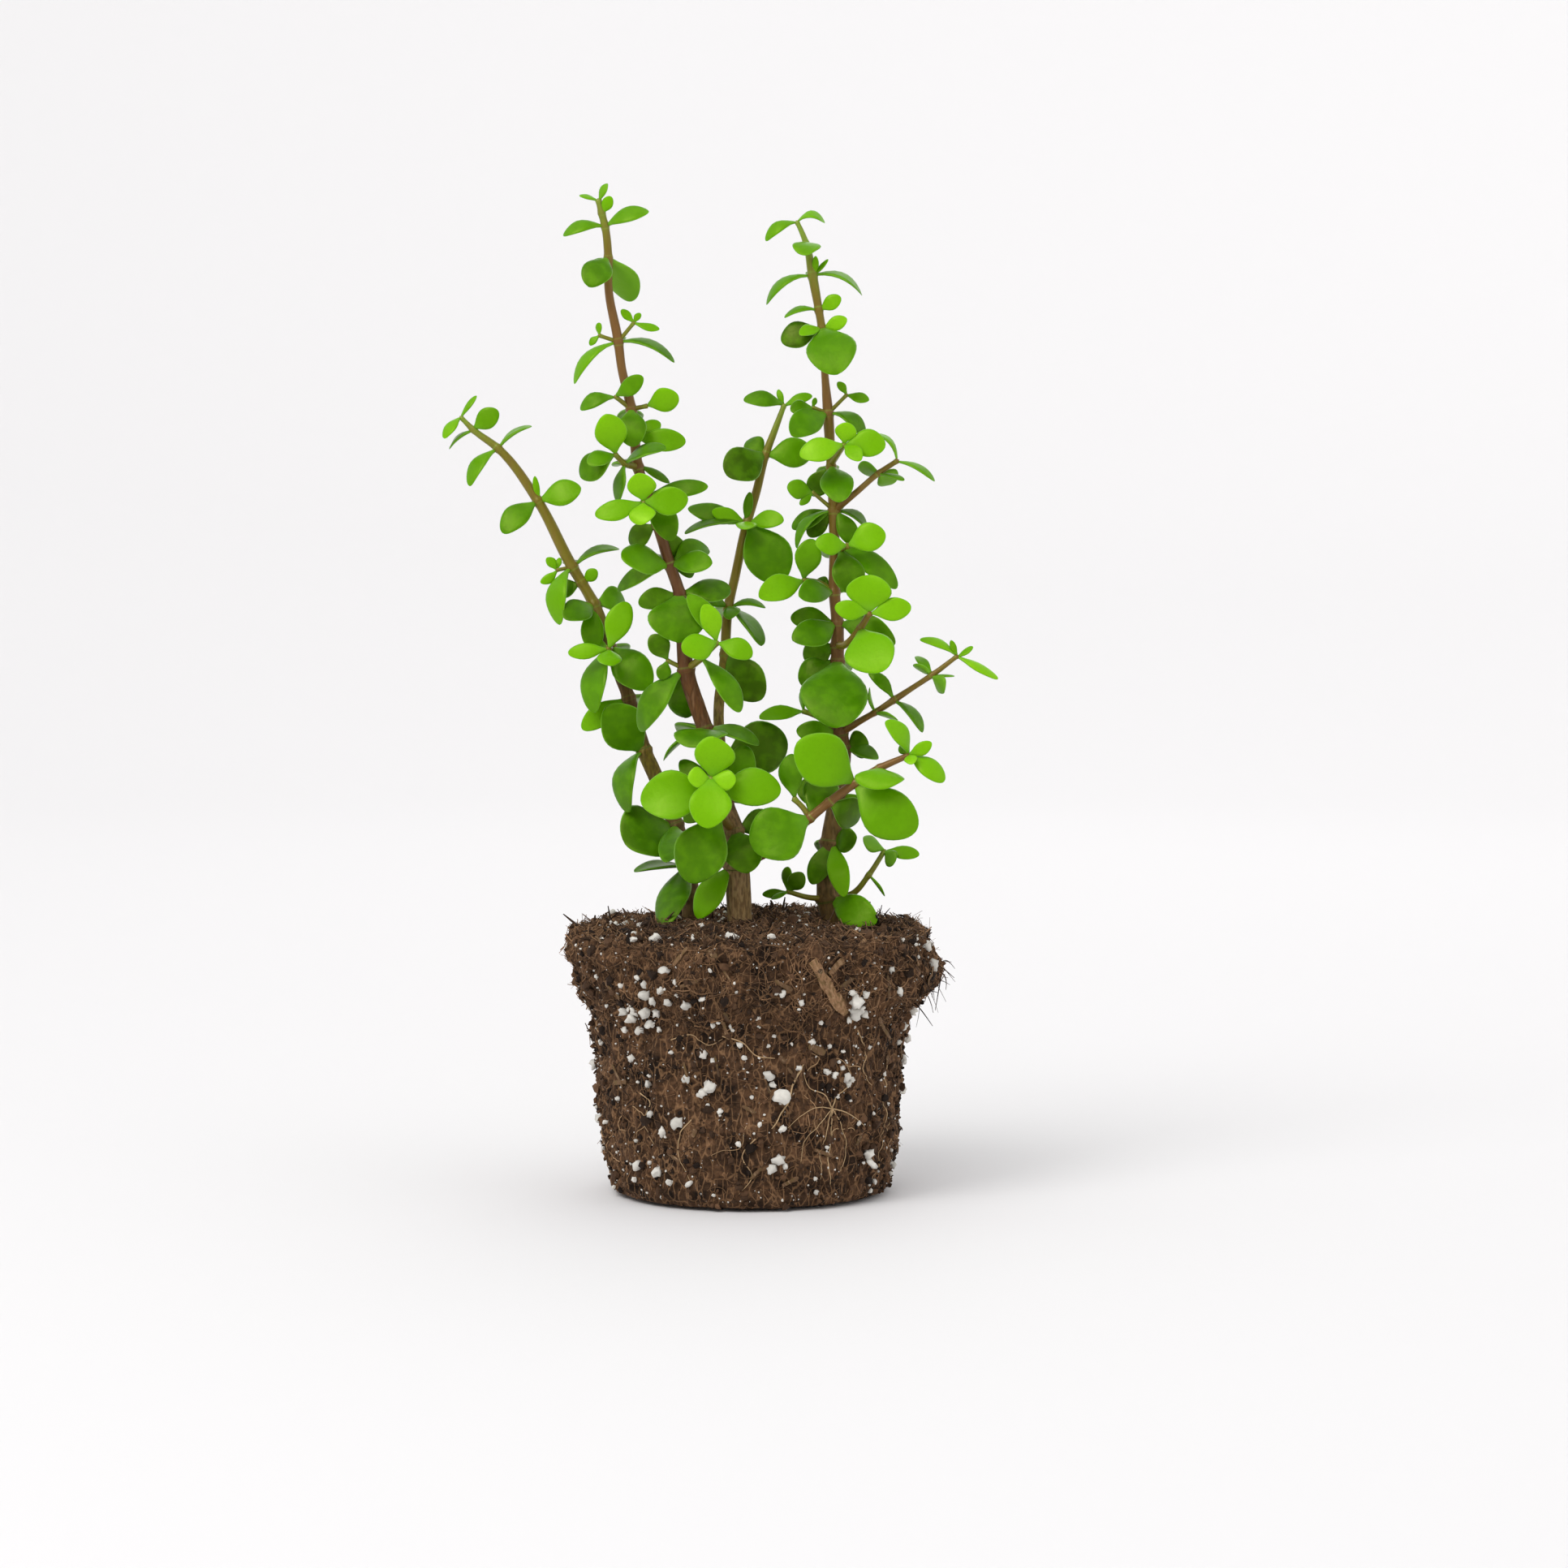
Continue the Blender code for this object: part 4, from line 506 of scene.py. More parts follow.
# Pale roots on the front: points (x, z) along each.
ROOTS = (
    ((17, 47), (14, 42), (12, 35), (7, 27)),
    ((26, 32), (21, 33), (16, 31), (12, 27)), ((26, 32), (21, 27), (17, 22), (16, 16)),
    ((26, 32), (24, 25), (22, 16), (22, 10)), ((26, 32), (26, 24), (24, 15), (25, 8)),
    ((26, 32), (29, 31), (32, 29), (36, 24)), ((26, 32), (27, 36), (31, 40), (30, 46)),
    ((26, 32), (29, 26), (30, 19), (28, 12)), ((26, 32), (23, 37), (19, 39), (17, 44)),
    ((42, 33), (42, 26), (41, 17), (39, 7)), ((44, 44), (43, 38), (44, 30), (43, 22)),
    ((-18, 29), (-21, 25), (-22, 20), (-18, 10)), ((-34, 36), (-31, 33), (-33, 27), (-30, 20)),
    ((-8, 56), (-2, 54), (2, 50), (8, 49)), ((-24, 54), (-18, 56), (-12, 53), (-8, 55)),
    ((2, 24), (-2, 18), (1, 12), (-3, 6)), ((34, 56), (37, 50), (35, 44), (38, 38)),
)
NOISE_CELLS = 32
LEAF_FULLNESS = 1.08       # the finished blade's width as a share of the planned width
LEAF_OPENING = 0.35        # how much more a front leaf's upper face turns to the front


class PlantSizes(bpy.types.PropertyGroup):
    """Sizes of the leaves and stems."""

    leaf_thickness: bpy.props.FloatProperty(
        name="Leaf thickness", description="Thickness of the fattest leaves",
        default=0.0021, min=0.0005, max=0.004, unit="LENGTH")
    leaf_cup: bpy.props.FloatProperty(
        name="Leaf cup", description="How far a leaf's edges rise, as a share of its half width",
        default=0.07, min=-0.3, max=0.4)
    leaf_sway: bpy.props.FloatProperty(
        name="Leaf sway", description="How much leaves differ in twist, cup and droop",
        default=1.0, min=0.0, max=2.0)
    node_swell: bpy.props.FloatProperty(
        name="Node swell", description="How much thicker a stem is where leaves grow",
        default=0.22, min=0.0, max=0.6)


class BallSizes(bpy.types.PropertyGroup):
    """Sizes and counts of the root ball's parts."""

    roughness: bpy.props.FloatProperty(
        name="Roughness", description="Height of the lumps in the soil",
        default=0.0014, min=0.0, max=0.004, unit="LENGTH")
    fibres: bpy.props.IntProperty(
        name="Fibres",
        description="Coir fibres: 2/5 of these on the side, 1/2 at the lip, 3/4 on top",
        default=4200, min=10, max=5000)
    fibre_radius: bpy.props.FloatProperty(
        name="Fibre radius", description="Radius of the coir fibres",
        default=0.00013, min=0.00003, max=0.0005, unit="LENGTH")
    crumbs: bpy.props.IntProperty(
        name="Crumbs", description="Loose crumbs of peat", default=7000, min=10, max=9000)
    specks: bpy.props.IntProperty(
        name="Perlite specks", description="Small perlite grains scattered at random",
        default=1600, min=0, max=3000)


def colour(name, words, red, green, blue):
    """A colour setting in linear light."""
    return bpy.props.FloatVectorProperty(
        name=name, description=words, subtype="COLOR", size=3, min=0.0, max=1.0,
        default=(red, green, blue))


class PlantColours(bpy.types.PropertyGroup):
    """Colours of the leaves, the bark and the ball."""

    # The leaf tints are partly painted light: the darker ones hold painted shade, the brighter and
    # young ones painted light.
    leaf_dark: colour("Dark leaf", "Old leaves deep in the plant", 0.024, 0.068, 0.0)
    leaf_mid: colour("Middle leaf", "Grown leaves", 0.06, 0.2, 0.0)
    leaf_bright: colour("Bright leaf", "Leaves turned to the light", 0.15, 0.41, 0.0)
    leaf_young: colour("Young leaf", "New leaves at the tips", 0.23, 0.54, 0.005)
    leaf_under: colour("Leaf underside", "Paler underside and thin edge", 0.2, 0.45, 0.04)
    bark_wood: colour("Woody bark", "Grey-brown bark at the foot", 0.29, 0.195, 0.085)
    bark_umber: colour("Dark bark", "Dark brown bark of the right stem", 0.12, 0.075, 0.022)
    bark_plum: colour("Plum bark", "Purple-brown bark halfway up", 0.1, 0.034, 0.012)
    bark_russet: colour("Russet bark", "Reddish brown bark", 0.18, 0.085, 0.022)
    bark_olive: colour("Olive bark", "Green-brown bark of the upper stems", 0.17, 0.14, 0.01)
    bark_green: colour("Green bark", "Green ends of the shoots", 0.2, 0.32, 0.03)
    # Dark soil also serves as painted shade in the hollows of the soil's bump.
    soil_dark: colour("Dark soil", "Peat in the hollows", 0.012, 0.006, 0.003)
    soil_light: colour("Light soil", "Peat and coir on the lumps", 0.145, 0.074, 0.036)
    fibre_dark: colour("Dark fibre", "Darkest coir fibres", 0.028, 0.013, 0.006)
    fibre_light: colour("Light fibre", "Lightest coir fibres and bark chips", 0.36, 0.2, 0.098)
    root_pale: colour("Pale root", "Living roots", 0.55, 0.39, 0.21)
    perlite: colour("Perlite", "White grains in the soil", 0.78, 0.75, 0.68)


def unit(vectors):
    """Vectors divided by their lengths along the last axis."""
    return vectors / np.maximum(np.linalg.norm(vectors, axis=-1, keepdims=True), 1e-9)


def noise(points, cell, seed):
    """Smooth random heights from -1 to 1.

    A cube of random numbers is repeated through space with its cells `cell` apart, and a
    point takes the mix of its cell's 8 corners by the smooth step 3f^2 - 2f^3 of its place.
    """
    lattice = np.random.default_rng(seed).uniform(-1, 1, (NOISE_CELLS,) * 3)
    place = points / cell
    low = np.floor(place).astype(int)
    part = place - low
    part = part * part * (3 - 2 * part)
    total = np.zeros(points.shape[:-1])
    for corner in np.ndindex(2, 2, 2):
        x, y, z = (low[..., axis] + corner[axis] for axis in range(3))
        weight = np.prod(np.where(corner, part, 1 - part), axis=-1)
        total += weight * lattice[x % NOISE_CELLS, y % NOISE_CELLS, z % NOISE_CELLS]
    return total


def lengths_along(rows):
    """The length from the first row to each along the straight lines that join them."""
    return np.concatenate([[0], np.cumsum(np.linalg.norm(np.diff(rows, axis=0), axis=1))])


def smooth_rows(rows, step):
    """Rows of numbers resampled `step` apart along a Hermite curve through them.

    Between two rows p and q, a length h apart, with slopes m and n, a point at share f is
    (2f^3-3f^2+1)p + (f^3-2f^2+f)hm + (3f^2-2f^3)q + (f^3-f^2)hn. Also gives the length
    along the curve at each new row and at each old one.
    """
    rows = np.asarray(rows, float)
    marks = lengths_along(rows[:, :3])
    slopes = np.gradient(rows, marks, axis=0)
    at = np.linspace(0, marks[-1], max(int(marks[-1] / step), 5))
    low = np.clip(np.searchsorted(marks, at, "right") - 1, 0, len(rows) - 2)
    span = (marks[low + 1] - marks[low])[:, None]
    f = (at - marks[low])[:, None] / span
    path = ((2 * f**3 - 3 * f**2 + 1) * rows[low] + (f**3 - 2 * f**2 + f) * span * slopes[low]
            + (3 * f**2 - 2 * f**3) * rows[low + 1] + (f**3 - f**2) * span * slopes[low + 1])
    return path, at, marks


def tube_faces(count, rings, around):
    """Corner numbers of `count` closed tubes.

    Each tube's points are its rings in turn, `around` to a ring, and then its two end
    points. Quads join neighbouring rings, and triangles close each end.
    """
    ring = np.arange(around)
    turn = (ring + 1) % around
    rows = np.arange(rings - 1)[:, None] * around
    quads = np.stack([rows + ring, rows + turn, rows + around + turn, rows + around + ring], -1)
    quads = quads.reshape(-1, 4)
    foot, end = rings * around, rings * around + 1
    last = (rings - 1) * around
    fans = np.concatenate([
        np.stack([np.full(around, foot), turn, ring], -1),
        np.stack([np.full(around, end), last + ring, last + turn], -1),
    ])
    offset = (np.arange(count) * (rings * around + 2))[:, None, None]
    return (quads + offset).reshape(-1, 4), (fans + offset).reshape(-1, 3)


def tubes(lines, wide, high, up, around):
    """Closed tubes carried along lines.

    lines is (count, rings, 3). A ring is the ellipse line + cos(v) wide S + sin(v) high U,
    with S = U x D, D the way the line runs and U as near `up` as a right angle to D allows.
    """
    count, rings = lines.shape[:2]
    way = unit(np.gradient(lines, axis=1))
    side = unit(np.cross(up, way))
    above = np.cross(way, side)
    angle = np.arange(around) * 2 * np.pi / around
    shape = (lines[:, :, None] + np.cos(angle)[:, None] * (side * wide[..., None])[:, :, None]
             + np.sin(angle)[:, None] * (above * high[..., None])[:, :, None])
    foot = lines[:, 0] - way[:, 0] * high[:, :1] * 0.6
    end = lines[:, -1] + way[:, -1] * high[:, -1:] * 0.6
    points = np.concatenate([shape.reshape(count, -1, 3), foot[:, None], end[:, None]], axis=1)
    quads, fans = tube_faces(count, rings, around)
    return points.reshape(-1, 3), quads, fans


def per_tube(values, rings, around):
    """One value or colour for each tube, repeated for each of its points."""
    return np.repeat(np.asarray(values), rings * around + 2, axis=0)


def ball_faces(fine):
    """Points on a unit sphere and its triangles: an icosahedron, split once if it is fine."""
    gold = (1 + 5**0.5) / 2
    points = np.array([
        (-1, gold, 0), (1, gold, 0), (-1, -gold, 0), (1, -gold, 0), (0, -1, gold), (0, 1, gold),
        (0, -1, -gold), (0, 1, -gold), (gold, 0, -1), (gold, 0, 1), (-gold, 0, -1), (-gold, 0, 1),
    ])
    faces = np.array([
        (0, 11, 5), (0, 5, 1), (0, 1, 7), (0, 7, 10), (0, 10, 11), (1, 5, 9), (5, 11, 4),
        (11, 10, 2), (10, 7, 6), (7, 1, 8), (3, 9, 4), (3, 4, 2), (3, 2, 6), (3, 6, 8),
        (3, 8, 9), (4, 9, 5), (2, 4, 11), (6, 2, 10), (8, 6, 7), (9, 8, 1),
    ])
    if fine:
        edges = np.sort(faces[:, [0, 1, 1, 2, 2, 0]].reshape(-1, 2), axis=1)
        edges, which = np.unique(edges, axis=0, return_inverse=True)
        middle = which.reshape(-1, 3) + len(points)
        points = np.concatenate([points, points[edges].mean(axis=1)])
        a, b, c = faces.T
        ab, bc, ca = middle.T
        faces = np.concatenate([
            np.stack(corners, -1)
            for corners in ((a, ab, ca), (b, bc, ab), (c, ca, bc), (ab, bc, ca))
        ])
    return unit(points), faces


def lumps(centres, sizes, jag, seed, fine=False):
    """Small rough stones: unit balls, their points pushed in or out at random by `jag`,
    squeezed by a different share along each axis, turned at random, scaled and moved."""
    rng = np.random.default_rng(seed)
    shape, faces = ball_faces(fine)
    count = len(centres)
    push = 1 + jag * rng.uniform(-1, 1, (count, len(shape), 1))
    squeeze = rng.uniform(0.62, 1.15, (count, 1, 3))
    turn = np.linalg.qr(rng.normal(size=(count, 3, 3)))[0]
    turn *= np.sign(np.linalg.det(turn))[:, None, None]
    points = shape * push * squeeze * np.asarray(sizes)[:, None, None] / 2
    points = np.einsum("nij,npj->npi", turn, points) + centres[:, None]
    offset = (np.arange(count) * len(shape))[:, None, None]
    return points.reshape(-1, 3), (faces + offset).reshape(-1, 3), len(shape)


def make_piece(name, points, quads, fans, surface, slot, nodes=(), smooth=True, **layers):
    """A mesh object from millimetre points, riding on the plant's only body.

    Each layer is an attribute with one number, 3 numbers or 4 numbers for each point.
    """
    mesh = bpy.data.meshes.new(name)
    faces = [*quads.tolist(), *fans.tolist()]
    mesh.from_pydata((points * MM).tolist(), [], faces)
    for layer, values in layers.items():
        values = np.asarray(values, np.float32)
        kind, key = {1: ("FLOAT", "value"), 3: ("FLOAT_VECTOR", "vector"),
                     4: ("FLOAT_COLOR", "color")}[values.shape[1] if values.ndim > 1 else 1]
        mesh.attributes.new(layer, kind, "POINT").data.foreach_set(key, values.ravel())
    if smooth:
        mesh.shade_smooth()
    mesh.materials.append(surface)
    piece = bpy.data.objects.new(name, mesh)
    bpy.context.scene.collection.objects.link(piece)
    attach(piece, "root")
    if nodes:
        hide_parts(*nodes)
    return piece


def set_inputs(tree, made, **sockets):
    """Set or link a node's inputs, each by its name with _ for a space, or by _ and number."""
    for key, value in sockets.items():
        name = int(key[1:]) if key[1:].isdigit() else key.replace("_", " ")
        if isinstance(value, bpy.types.NodeSocket):
            tree.links.new(value, made.inputs[name])
        else:
            made.inputs[name].default_value = value


def add_node(tree, kind, settings=(), **sockets):
    """A shader node with its settings made and its inputs set or linked."""
    made = tree.nodes.new(kind)
    for key, value in dict(settings).items():
        setattr(made, key, value)
    set_inputs(tree, made, **sockets)
    return made


def new_surface(name):
    """A material with an empty Principled shader, and its tree and shader."""
    surface = bpy.data.materials.new(name)
    surface.use_nodes = True
    return surface, surface.node_tree, surface.node_tree.nodes["Principled BSDF"]


def ramp(tree, factor, stops):
    """A colour ramp through (place, colour) stops."""
    made = add_node(tree, "ShaderNodeValToRGB", Fac=factor)
    while len(made.color_ramp.elements) < len(stops):
        made.color_ramp.elements.new(0.5)
    for element, (place, tint) in zip(made.color_ramp.elements, stops):
        element.position = place
        element.color = (*tint, 1.0)
    return made.outputs["Color"]


def layer_of(tree, name):
    """What a mesh layer gives: its Color, Vector, Fac and Alpha."""
    return add_node(tree, "ShaderNodeAttribute", {"attribute_name": name}).outputs


def object_place(tree):
    """The place on the object, in metres."""
    return add_node(tree, "ShaderNodeTexCoord").outputs["Object"]


def moved(tree, place, **settings):
    """A place turned or stretched."""
    return add_node(tree, "ShaderNodeMapping", Vector=place, **settings).outputs[0]


def curve(tree, value, low, high, start=0.0, end=1.0):
    """A number moved smoothly from start to end as value goes from low to high."""
    made = add_node(tree, "ShaderNodeMapRange", {"interpolation_type": "SMOOTHSTEP"},
                    Value=value, From_Min=low, From_Max=high, To_Min=start, To_Max=end)
    return made.outputs["Result"]


def times(tree, first, second):
    """Two numbers multiplied."""
    made = add_node(tree, "ShaderNodeMath", {"operation": "MULTIPLY"}, _0=first, _1=second)
    return made.outputs[0]


def blend(tree, share, first, second):
    """Two colours mixed by a share."""
    first, second = (tint if isinstance(tint, bpy.types.NodeSocket) else (*tint, 1.0)
                     for tint in (first, second))
    made = add_node(tree, "ShaderNodeMix", {"data_type": "RGBA"}, _0=share, _6=first, _7=second)
    return made.outputs[2]


def speckle(tree, place, scale, detail=3.0):
    """A noise pattern read at a place."""
    made = add_node(tree, "ShaderNodeTexNoise", Vector=place, Scale=scale, Detail=detail)
    return made.outputs["Fac"]


def bump(tree, shader, height, strength, depth):
    """Relief on a shader from a height, depth in metres."""
    made = add_node(tree, "ShaderNodeBump", Height=height, Strength=strength, Distance=depth)
    tree.links.new(made.outputs["Normal"], shader.inputs["Normal"])


def washed(tree, tint, washes):
    """A colour with others mixed over it in turn.

    Each wash is the five settings of `curve`, which give its share, then its colour and the
    numbers, if any, that the share is multiplied by.
    """
    for value, low, high, start, end, over, *factors in washes:
        share = curve(tree, value, low, high, start, end)
        for factor in factors:
            share = times(tree, share, factor)
        tint = blend(tree, share, tint, over)
    return tint


def leaf_surface(name):
    """Waxy leaf: tone by leaf, partly painted shade and light, pale underside, thin pale edge,
    paler foot and soft mottling.
    """
    tints = bpy.context.scene.plant_colours
    surface, tree, shader = new_surface(name)
    blade = layer_of(tree, "blade")
    parts = add_node(tree, "ShaderNodeSeparateColor", Color=blade["Color"]).outputs
    place = object_place(tree)
    mottle = speckle(tree, place, 260.0)
    grain = speckle(tree, place, 1500.0, 4.0)
    # tone by leaf, from dark to young: partly painted shade and painted light
    tone = ramp(tree, parts["Red"], (
        (0.0, tints.leaf_dark), (0.42, tints.leaf_mid), (0.75, tints.leaf_bright),
        (1.0, tints.leaf_young)))
    tone = washed(tree, tone, (
        (mottle, 0.4, 0.7, 0.0, 0.25, tints.leaf_bright),
        (grain, 0.45, 0.8, 0.0, 0.1, tints.leaf_dark),
        (blade["Alpha"], 0.34, 0.0, 0.0, 0.4, tints.leaf_under),
        (parts["Blue"], 0.42, 0.2, 0.0, 0.45, tints.leaf_under),
        (parts["Green"], 0.92, 0.99, 0.0, 0.7, tints.leaf_under)))
    set_inputs(tree, shader, Base_Color=tone, Roughness=curve(tree, mottle, 0.3, 0.7, 0.3, 0.42),
               Subsurface_Weight=0.15, Subsurface_Radius=(0.5, 1.0, 0.05),
               Subsurface_Scale=0.0015, Specular_IOR_Level=0.42,
               Specular_Tint=(0.85, 1.0, 0.2, 1.0))
    bump(tree, shader, speckle(tree, place, 520.0, 2.0), 0.25, 0.0004)
    return surface


def bark_surface(name):
    """Stem: tint from the bark layer, long streaks where it is woody, and leaf scars."""
    tints = bpy.context.scene.plant_colours
    surface, tree, shader = new_surface(name)
    bark = layer_of(tree, "bark")
    grain = layer_of(tree, "grain")["Vector"]
    scar = layer_of(tree, "scar")["Fac"]
    woody = bark["Alpha"]
    streak = speckle(tree, grain, 1.3, 4.0)
    spot = speckle(tree, grain, 0.5, 2.0)
    tint = washed(tree, bark["Color"], (
        (streak, 0.38, 0.6, 0.6, 0.0, tints.soil_dark, woody),
        (spot, 0.5, 0.75, 0.0, 0.5, tints.fibre_light, woody),
        (spot, 0.6, 0.35, 0.0, 0.3, tints.bark_russet),
        (scar, 0.3, 1.0, 0.0, 0.5, tints.bark_green),
        (scar, 0.5, 1.0, 0.0, 0.7, tints.soil_dark, woody)))
    set_inputs(tree, shader, Base_Color=tint, Roughness=curve(tree, woody, 0.0, 0.8, 0.3, 0.75),
               Specular_Tint=(1.0, 0.8, 0.5, 1.0))
    bump(tree, shader, streak, 0.35, 0.0003)
    return surface


def soil_surface(name):
    """Peat and coir: dark and light patches, painted shade in the bump's hollows, matted fibre
    streaks and pale dust.
    """
    tints = bpy.context.scene.plant_colours
    surface, tree, shader = new_surface(name)
    place = object_place(tree)
    broad = speckle(tree, place, 110.0, 5.0)
    fine = speckle(tree, place, 700.0, 5.0)
    bent = moved(tree, place, Scale=(1.0, 1.0, 0.3), Rotation=(0.5, 0.3, 0.2))
    strand = add_node(tree, "ShaderNodeTexVoronoi", {"feature": "DISTANCE_TO_EDGE"}, Vector=bent,
                      Scale=420.0).outputs["Distance"]
    tint = ramp(tree, broad, ((0.36, tints.soil_dark), (0.6, tints.soil_light)))
    tint = washed(tree, tint, (
        # painted shade: darker where the fine noise is low, the hollows of the bump below
        (fine, 0.3, 0.7, 0.6, 0.0, tints.soil_dark),
        (strand, 0.09, 0.0, 0.0, 0.5, tints.fibre_light),
        (fine, 0.68, 0.76, 0.0, 0.55, tints.perlite)))
    set_inputs(tree, shader, Base_Color=tint, Roughness=0.95, Specular_IOR_Level=0.2)
    bump(tree, shader, fine, 0.9, 0.0012)
    return surface


def tinted_surface(name, dark, light, roughness):
    """Loose matter: a mix of two colours by the piece's tint layer, with fine speckles."""
    surface, tree, shader = new_surface(name)
    fine = speckle(tree, object_place(tree), 900.0)
    tint = blend(tree, layer_of(tree, "tint")["Fac"], dark, light)
    tint = washed(tree, tint, ((fine, 0.4, 0.75, 0.0, 0.35, dark),))
    set_inputs(tree, shader, Base_Color=tint, Roughness=roughness, Specular_IOR_Level=0.3)
    bump(tree, shader, fine, 0.5, 0.0003)
    return surface


def chip_surface(name):
    """Split bark: straw to dark brown by the tint layer, with streaks that run downwards."""
    tints = bpy.context.scene.plant_colours
    surface, tree, shader = new_surface(name)
    slanted = moved(tree, object_place(tree), Rotation=(0.0, 0.53, 0.0))
    streak = speckle(tree, moved(tree, slanted, Scale=(1.0, 1.0, 0.1)), 1400.0, 4.0)
    tint = blend(tree, layer_of(tree, "tint")["Fac"], tints.fibre_dark, tints.fibre_light)
    tint = washed(tree, tint, (
        (streak, 0.55, 0.35, 0.0, 0.75, tints.bark_umber),
        (streak, 0.56, 0.7, 0.0, 0.4, tints.root_pale)))
    set_inputs(tree, shader, Base_Color=tint, Roughness=0.75, Specular_IOR_Level=0.3)
    bump(tree, shader, streak, 0.8, 0.0005)
    return surface


def surface_named(name, make, *settings):
    """The material of that name, made if it isn't there yet."""
    return bpy.data.materials.get(name) or make(name, *settings)


def leant(name, points):
    """Planned points moved back or forward with the stem they belong to."""
    while name in SHOOTS:
        name = SHOOTS[name][0]
    points = np.array(points, float)
    points[..., 1] += LEAN[LEANS_WITH.get(name, name)] * np.maximum(points[..., 2] - LEAN_FROM, 0)
    return points


def planned_route(name):
    """A stem or shoot's rows (x, y, z, radius), a shoot's starting inside its carrier."""
    if name in STEMS:
        return leant(name, STEMS[name])
    parent, place, _, rest = SHOOTS[name]
    rest = leant(name, rest)
    foot = planned_route(parent)[place].copy()
    foot[3] = rest[0, 3] * 1.15
    return np.concatenate([foot[None], rest])


def nodes_of(name):
    """The CAD nodes of a stem or shoot: its own, or none where its carrier's includes it."""
    return (name,) if name in STEMS or SHOOTS[name][2] else ()


def crumb_surface():
    """The peat of the loose crumbs and bits."""
    tints = bpy.context.scene.plant_colours
    return surface_named("peat_crumb", tinted_surface, tints.soil_dark, tints.soil_light, 0.95)


def outline_smooth():
    """The ball's outline resampled, as radius, height and length along it."""
    rows = np.array([(r, 0, z) for r, z in BALL_OUTLINE], float)
    marks = lengths_along(rows)
    along = np.linspace(0, marks[-1], OUTLINE_POINTS)
    radius = np.interp(along, marks, rows[:, 0])
    height = np.interp(along, marks, rows[:, 2])
    kernel = np.hanning(9)
    kernel /= kernel.sum()
    for values in (radius, height):
        values[8:-8] = np.convolve(values, kernel, "same")[8:-8]
    return radius, height, along


def on_ball(turn, along, lift):
    """A point on the ball's rough skin and the way out of it.

    turn is the angle from +X, along the length from the base's middle along the outline.
    The skin is the turned outline, moved out along its normal by lift plus noise in three
    sizes: lumps, crumbs and grit. The lip hangs over to the right in a torn bulge, and its
    edge waves. The base stays within 0.4 mm of its plane, so that the ball stands.
    """
    radius, height, marks = outline_smooth()
    r = np.interp(along, marks, radius)
    z = np.interp(along, marks, height)
    slope_r = np.interp(along, marks, np.gradient(radius, marks))
    slope_z = np.interp(along, marks, np.gradient(height, marks))
    steep = np.hypot(slope_r, slope_z)
    slope_r, slope_z = slope_r / steep, slope_z / steep
    out = np.stack([slope_z * np.cos(turn), slope_z * np.sin(turn), -slope_r], -1)
    point = np.stack([r * np.cos(turn), r * np.sin(turn), z], -1)
    bulge = 4.6 * np.exp(-((turn / 0.55) ** 2)) * np.exp(-(((z - 70) / 7) ** 2))
    sizes = bpy.context.scene.ball_sizes
    rough = sizes.roughness / MM
    relief = rough * (noise(point, 6.5, 3) + 0.7 * noise(point, 2.6, 4)
                      + 0.35 * noise(point, 1.1, 5))
    lip = np.exp(-(((z - 74) / 9) ** 2))
    relief = relief * (1 + 0.5 * lip) + lip * 0.9 * noise(point, 15.0, 6) + bulge
    flat = np.clip((z - 0.6) / 5, 0, 1)
    relief = relief * flat - 0.25 * (1 - flat) * np.clip(noise(point, 3.0, 7), 0, 1)
    return point + out * (relief + lift)[..., None], out


def ball_length(height):
    """The length along the outline where the ball's side reaches a height."""
    _, z, marks = outline_smooth()
    return np.interp(height, z, marks)


def top_length(radius):
    """The length along the outline where the soil's top has a radius."""
    r, _, marks = outline_smooth()
    rim = np.argmax(r)
    return np.interp(radius, r[rim:][::-1], marks[rim:][::-1])


def scatter(count, low, high, rng):
    """Random places on the ball between two lengths along its outline, even by area."""
    radius, _, marks = outline_smooth()
    inside = (marks >= low) & (marks <= high)
    share = np.cumsum(radius[inside])
    along = np.interp(rng.uniform(0, share[-1], count), share, marks[inside])
    return rng.uniform(-np.pi, np.pi, count), along


def front_place(x, z):
    """The turn and outline length of a point (x, z) on the front of the ball's side."""
    radius, _, marks = outline_smooth()
    along = ball_length(np.asarray(z, float))
    r = np.interp(along, marks, radius)
    return -np.arccos(np.clip(np.asarray(x, float) / r, -0.999, 0.999)), along


def strands(count, low, high, length, loose, seed):
    """Lines that wander over the ball's skin.

    A strand leaves a random place at a random heading h and bends steadily: at share t its
    heading is h + k(t - 1/2). Steps along the heading add up to turns round the ball and
    lengths along its outline. It lifts off the skin by a (1-t)^3 + b t^3, with a and b
    random and at most `loose`.
    """
    rng = np.random.default_rng(seed)
    turn, along = scatter(count, low, high, rng)
    share = np.linspace(0, 1, FIBRE_RINGS)
    heading = rng.uniform(0, 2 * np.pi, (count, 1))
    heading = heading + rng.normal(0, 1.5, (count, 1)) * (share - 0.5)
    step = length * rng.lognormal(0, 0.45, (count, 1)) / FIBRE_RINGS
    radius, _, marks = outline_smooth()
    r = np.interp(along, marks, radius)[:, None]
    turns = turn[:, None] + np.cumsum(np.cos(heading) * step, axis=1) / np.maximum(r, 8)
    lengths = along[:, None] + np.cumsum(np.sin(heading) * step, axis=1)
    lengths = np.clip(lengths, low, high)
    ends = loose * rng.uniform(0, 1, (count, 2)) ** 2
    lift = 0.05 + ends[:, :1] * (1 - share) ** 3 + ends[:, 1:] * share**3
    return on_ball(turns, lengths, lift)


def share_of(rng, places):
    """A random tint for each of many pieces, darker and lighter by patches 9 mm apart."""
    patch = 0.3 * noise(places, 9.0, 8) + 0.2 * noise(places, 4.0, 9)
    return np.clip(rng.normal(0.36, 0.3, len(places)) + patch, 0, 1)


